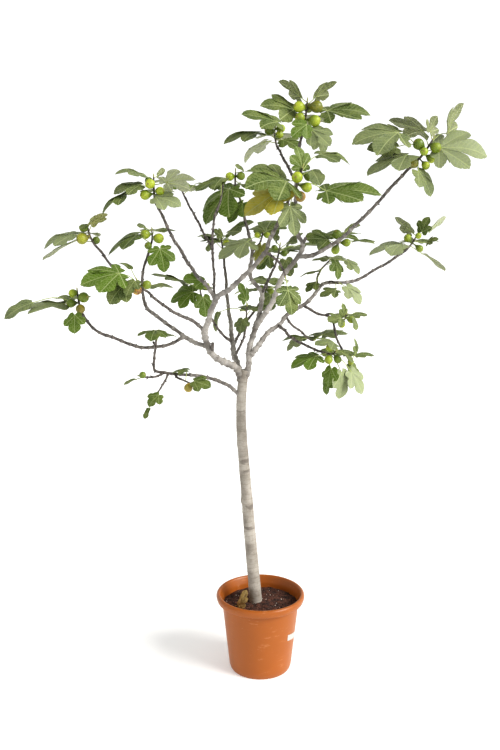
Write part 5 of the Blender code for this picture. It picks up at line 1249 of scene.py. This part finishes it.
def bark_look():
    """Smooth fig bark: pale and ringed on the trunk, dark grey-brown on the twigs."""
    look = Look("fig_bark")
    along, _, girth = look.parts("pattern")
    patches = look.noise(14.0, 5.0)
    grain = look.noise(110.0, 6.0, look.place((1.0, 1.0, 0.45)))
    twig = look.mix(look.span(grain, 0.35, 0.65), (0.018, 0.014, 0.013), (0.150, 0.128, 0.116))
    limb = look.mix(look.span(patches, 0.35, 0.65), (0.150, 0.138, 0.126), (0.42, 0.395, 0.365))
    trunk = look.mix(look.span(patches, 0.3, 0.7), (0.215, 0.190, 0.158), (0.43, 0.395, 0.345))
    colour = look.mix(look.span(girth, 0.0044, 0.0092), twig, limb)
    colour = look.mix(look.span(girth, 0.0130, 0.0180), colour, trunk)
    colour = look.mix(look.span(grain, 0.45, 0.75, 0.0, 0.35), colour, (0.18, 0.160, 0.135))
    rings = look.math("SINE", look.plus(look.times(along, 330.0), look.times(look.noise(22.0), 9.0)))
    rings = look.span(rings, 0.80, 1.0)
    colour = look.mix(look.times(rings, 0.30), colour, (0.16, 0.13, 0.10))
    pores = look.span(look.cells(150.0, "F1", look.place((1.0, 1.0, 2.2))), 0.10, 0.24, 1.0, 0.0)
    colour = look.mix(look.times(pores, 0.45), colour, (0.62, 0.56, 0.46))
    scars = look.span(look.noise(17.0, 3.0, look.place((0.6, 0.6, 1.6))), 0.60, 0.68)
    colour = look.mix(look.times(scars, 0.60), colour, (0.10, 0.080, 0.066))
    look.set(Base_Color=colour, Roughness=look.span(grain, 0.3, 0.7, 0.68, 0.9))
    height = look.plus(look.times(rings, -0.5), look.plus(grain, pores))
    look.bump(height, 0.55, 0.0010)
    return look.material


def plastic_look():
    """Moulded plastic: a fine grain, faint scuffs, and dust and soil marks low down."""
    look = Look("terracotta_plastic")
    patches = look.noise(7.0, 4.0)
    grain = look.noise(520.0, 3.0)
    scuffs = look.span(look.noise(26.0, 6.0, look.place((1.0, 1.0, 3.5))), 0.60, 0.72)
    height = look.node("ShaderNodeSeparateXYZ", {0: look.place()}).outputs[2]
    colour = look.mix(patches, tuple(0.90 * c for c in PLASTIC), tuple(1.08 * c for c in PLASTIC))
    colour = look.mix(look.times(scuffs, 0.22), colour, (0.66, 0.34, 0.17))
    low = look.times(look.span(height, 0.0, 0.035, 0.45, 0.0), look.noise(60.0, 6.0))
    colour = look.mix(low, colour, (0.30, 0.13, 0.06))
    look.set(Base_Color=colour, Roughness=look.span(look.plus(grain, scuffs), 0.4, 1.4, 0.36, 0.58))
    look.set(Specular_IOR_Level=0.35, Subsurface_Weight=0.08, Subsurface_Radius=(0.010, 0.004, 0.001))
    look.bump(look.plus(look.times(grain, 0.5), look.times(patches, 1.5)), 0.10, 0.0008)
    return look.material


def soil_look():
    """Moist peat and bark compost: dark red-brown crumbs with paler chips and a few white specks."""
    look = Look("potting_soil")
    shade, pale, _ = look.parts("tint")
    fine = look.noise(420.0, 6.0)
    patches = look.noise(55.0, 5.0)
    colour = look.mix(look.span(patches, 0.35, 0.65), (0.018, 0.0065, 0.0045), (0.100, 0.035, 0.021))
    colour = look.mix(look.span(shade, 0.55, 1.0, 0.0, 0.75), colour, (0.21, 0.090, 0.055))
    colour = look.mix(look.span(fine, 0.56, 0.70, 0.0, 0.65), colour, (0.30, 0.18, 0.125))
    colour = look.mix(pale, colour, (0.70, 0.62, 0.54))
    look.set(Base_Color=colour, Roughness=0.9)
    look.bump(look.plus(fine, look.times(patches, 2.0)), 0.9, 0.0016)
    return look.material


def paper_look():
    look = Look("label_paper")
    fibre = look.noise(900.0, 5.0)
    stain = look.span(look.noise(60.0), 0.5, 0.8, 0.0, 0.25)
    colour = look.mix(fibre, (0.44, 0.425, 0.395), (0.52, 0.505, 0.475))
    look.set(Base_Color=look.mix(stain, colour, (0.38, 0.33, 0.27)), Roughness=0.55)
    look.bump(fibre, 0.15, 0.0002)
    return look.material


def dry_look(name, light, dark):
    look = Look(name)
    patches = look.noise(75.0, 6.0)
    down, aside, _ = look.parts("pattern")
    vein = look.span(look.math("ABSOLUTE", aside), 0.01, 0.03, 0.5, 0.0)
    colour = look.mix(look.span(patches, 0.35, 0.65), dark, light)
    look.set(Base_Color=look.mix(vein, colour, (0.66, 0.54, 0.28)), Roughness=0.8)
    look.bump(patches, 0.5, 0.0012)
    return look.material


def floor_look():
    look = Look("studio_floor")
    grain = look.noise(3.0)
    look.set(Base_Color=look.mix(grain, FLOOR_WHITE, tuple(1.01 * c for c in FLOOR_WHITE)), Roughness=0.9)
    look.set(Emission_Color=(1.0, 1.0, 1.0, 1.0), Emission_Strength=FLOOR_GLOW)
    return look.material


def add_floor():
    shape = Shape()
    axes = Vector((1.0, 0.0, 0.0)), Vector((0.0, 1.0, 0.0))
    shape.add_points(ring_points(Vector(), axes, [FLOOR_RADIUS] * FLOOR_SIDES))
    shape.face(list(range(FLOOR_SIDES)), 0, MIDDLE_TINT, [(0.0, 0.0, 0.0)] * FLOOR_SIDES)
    floor = shape.build("floor", [floor_look()])


def add_camera():
    camera = bpy.data.cameras.new("camera")
    camera.lens = CAMERA_LENS
    camera.sensor_width = 36.0
    camera.clip_end = 200.0
    obj = bpy.data.objects.new("camera", camera)
    obj.location = EYE
    obj.rotation_euler = (math.radians(90.0 - CAMERA_PITCH), 0.0, 0.0)
    bpy.context.scene.collection.objects.link(obj)
    bpy.context.scene.camera = obj


def add_studio():
    """White all round, with a soft key light from the right, front and top."""
    world = bpy.data.worlds.new("studio")
    world.use_nodes = True
    tree = world.node_tree
    way = tree.nodes.new("ShaderNodeTexCoord")
    height = tree.nodes.new("ShaderNodeSeparateXYZ")
    share = tree.nodes.new("ShaderNodeMapRange")
    share.interpolation_type = "SMOOTHSTEP"
    for name, value in zip(("From Min", "From Max", "To Min", "To Max"), SKY):
        share.inputs[name].default_value = value
    tree.links.new(way.outputs["Generated"], height.inputs[0])
    tree.links.new(height.outputs[2], share.inputs["Value"])
    tree.links.new(share.outputs["Result"], tree.nodes["Background"].inputs["Strength"])
    tree.nodes["Background"].inputs["Color"].default_value = (1.0, 1.0, 1.0, 1.0)
    bpy.context.scene.world = world
    key = bpy.data.lights.new("key", "SUN")
    key.energy = KEY_LIGHT
    key.color = KEY_COLOUR
    key.angle = math.radians(KEY_SOFTNESS)
    obj = bpy.data.objects.new("key", key)
    obj.rotation_euler = Vector(KEY_DIRECTION).to_track_quat("-Z", "Y").to_euler()
    bpy.context.scene.collection.objects.link(obj)
    bpy.context.scene.view_settings.view_transform = "Standard"
    bpy.context.scene.view_settings.look = "Medium High Contrast"


def main():
    add_camera()
    add_studio()
    add_floor()
    bark = bark_look()
    # The fourth and fifth colours of each leaf face are painted light: deep green for light shining through,
    # pale for sheen and light falling on it
    upper = leaf_look("leaf_upper", (0.052, 0.084, 0.014), (0.150, 0.185, 0.048), (0.080, 0.155, 0.002),
                      (0.33, 0.37, 0.22), (0.44, 0.49, 0.24), (0.52, 0.44, 0.05), 0.62, -0.8)
    under = leaf_look("leaf_under", (0.135, 0.160, 0.065), (0.240, 0.265, 0.130), (0.130, 0.200, 0.012),
                      (0.42, 0.45, 0.31), (0.58, 0.61, 0.38), (0.55, 0.47, 0.08), 0.75, 0.9)
    materials = [bark, stalk_look(), upper, under, fig_look(), fig_eye_look()]
    make_pot(plastic_look())
    make_label(paper_look())
    make_soil(soil_look())
    make_wood(bark)
    for name in SHOOTS:
        make_shoot(name, materials)
    dry_upper = dry_look("dry_leaf_upper", (0.50, 0.36, 0.12), (0.26, 0.16, 0.05))
    dry_under = dry_look("dry_leaf_under", (0.58, 0.45, 0.20), (0.36, 0.25, 0.10))
    make_dry_leaf([bark, dry_upper, dry_upper, dry_under])


main()
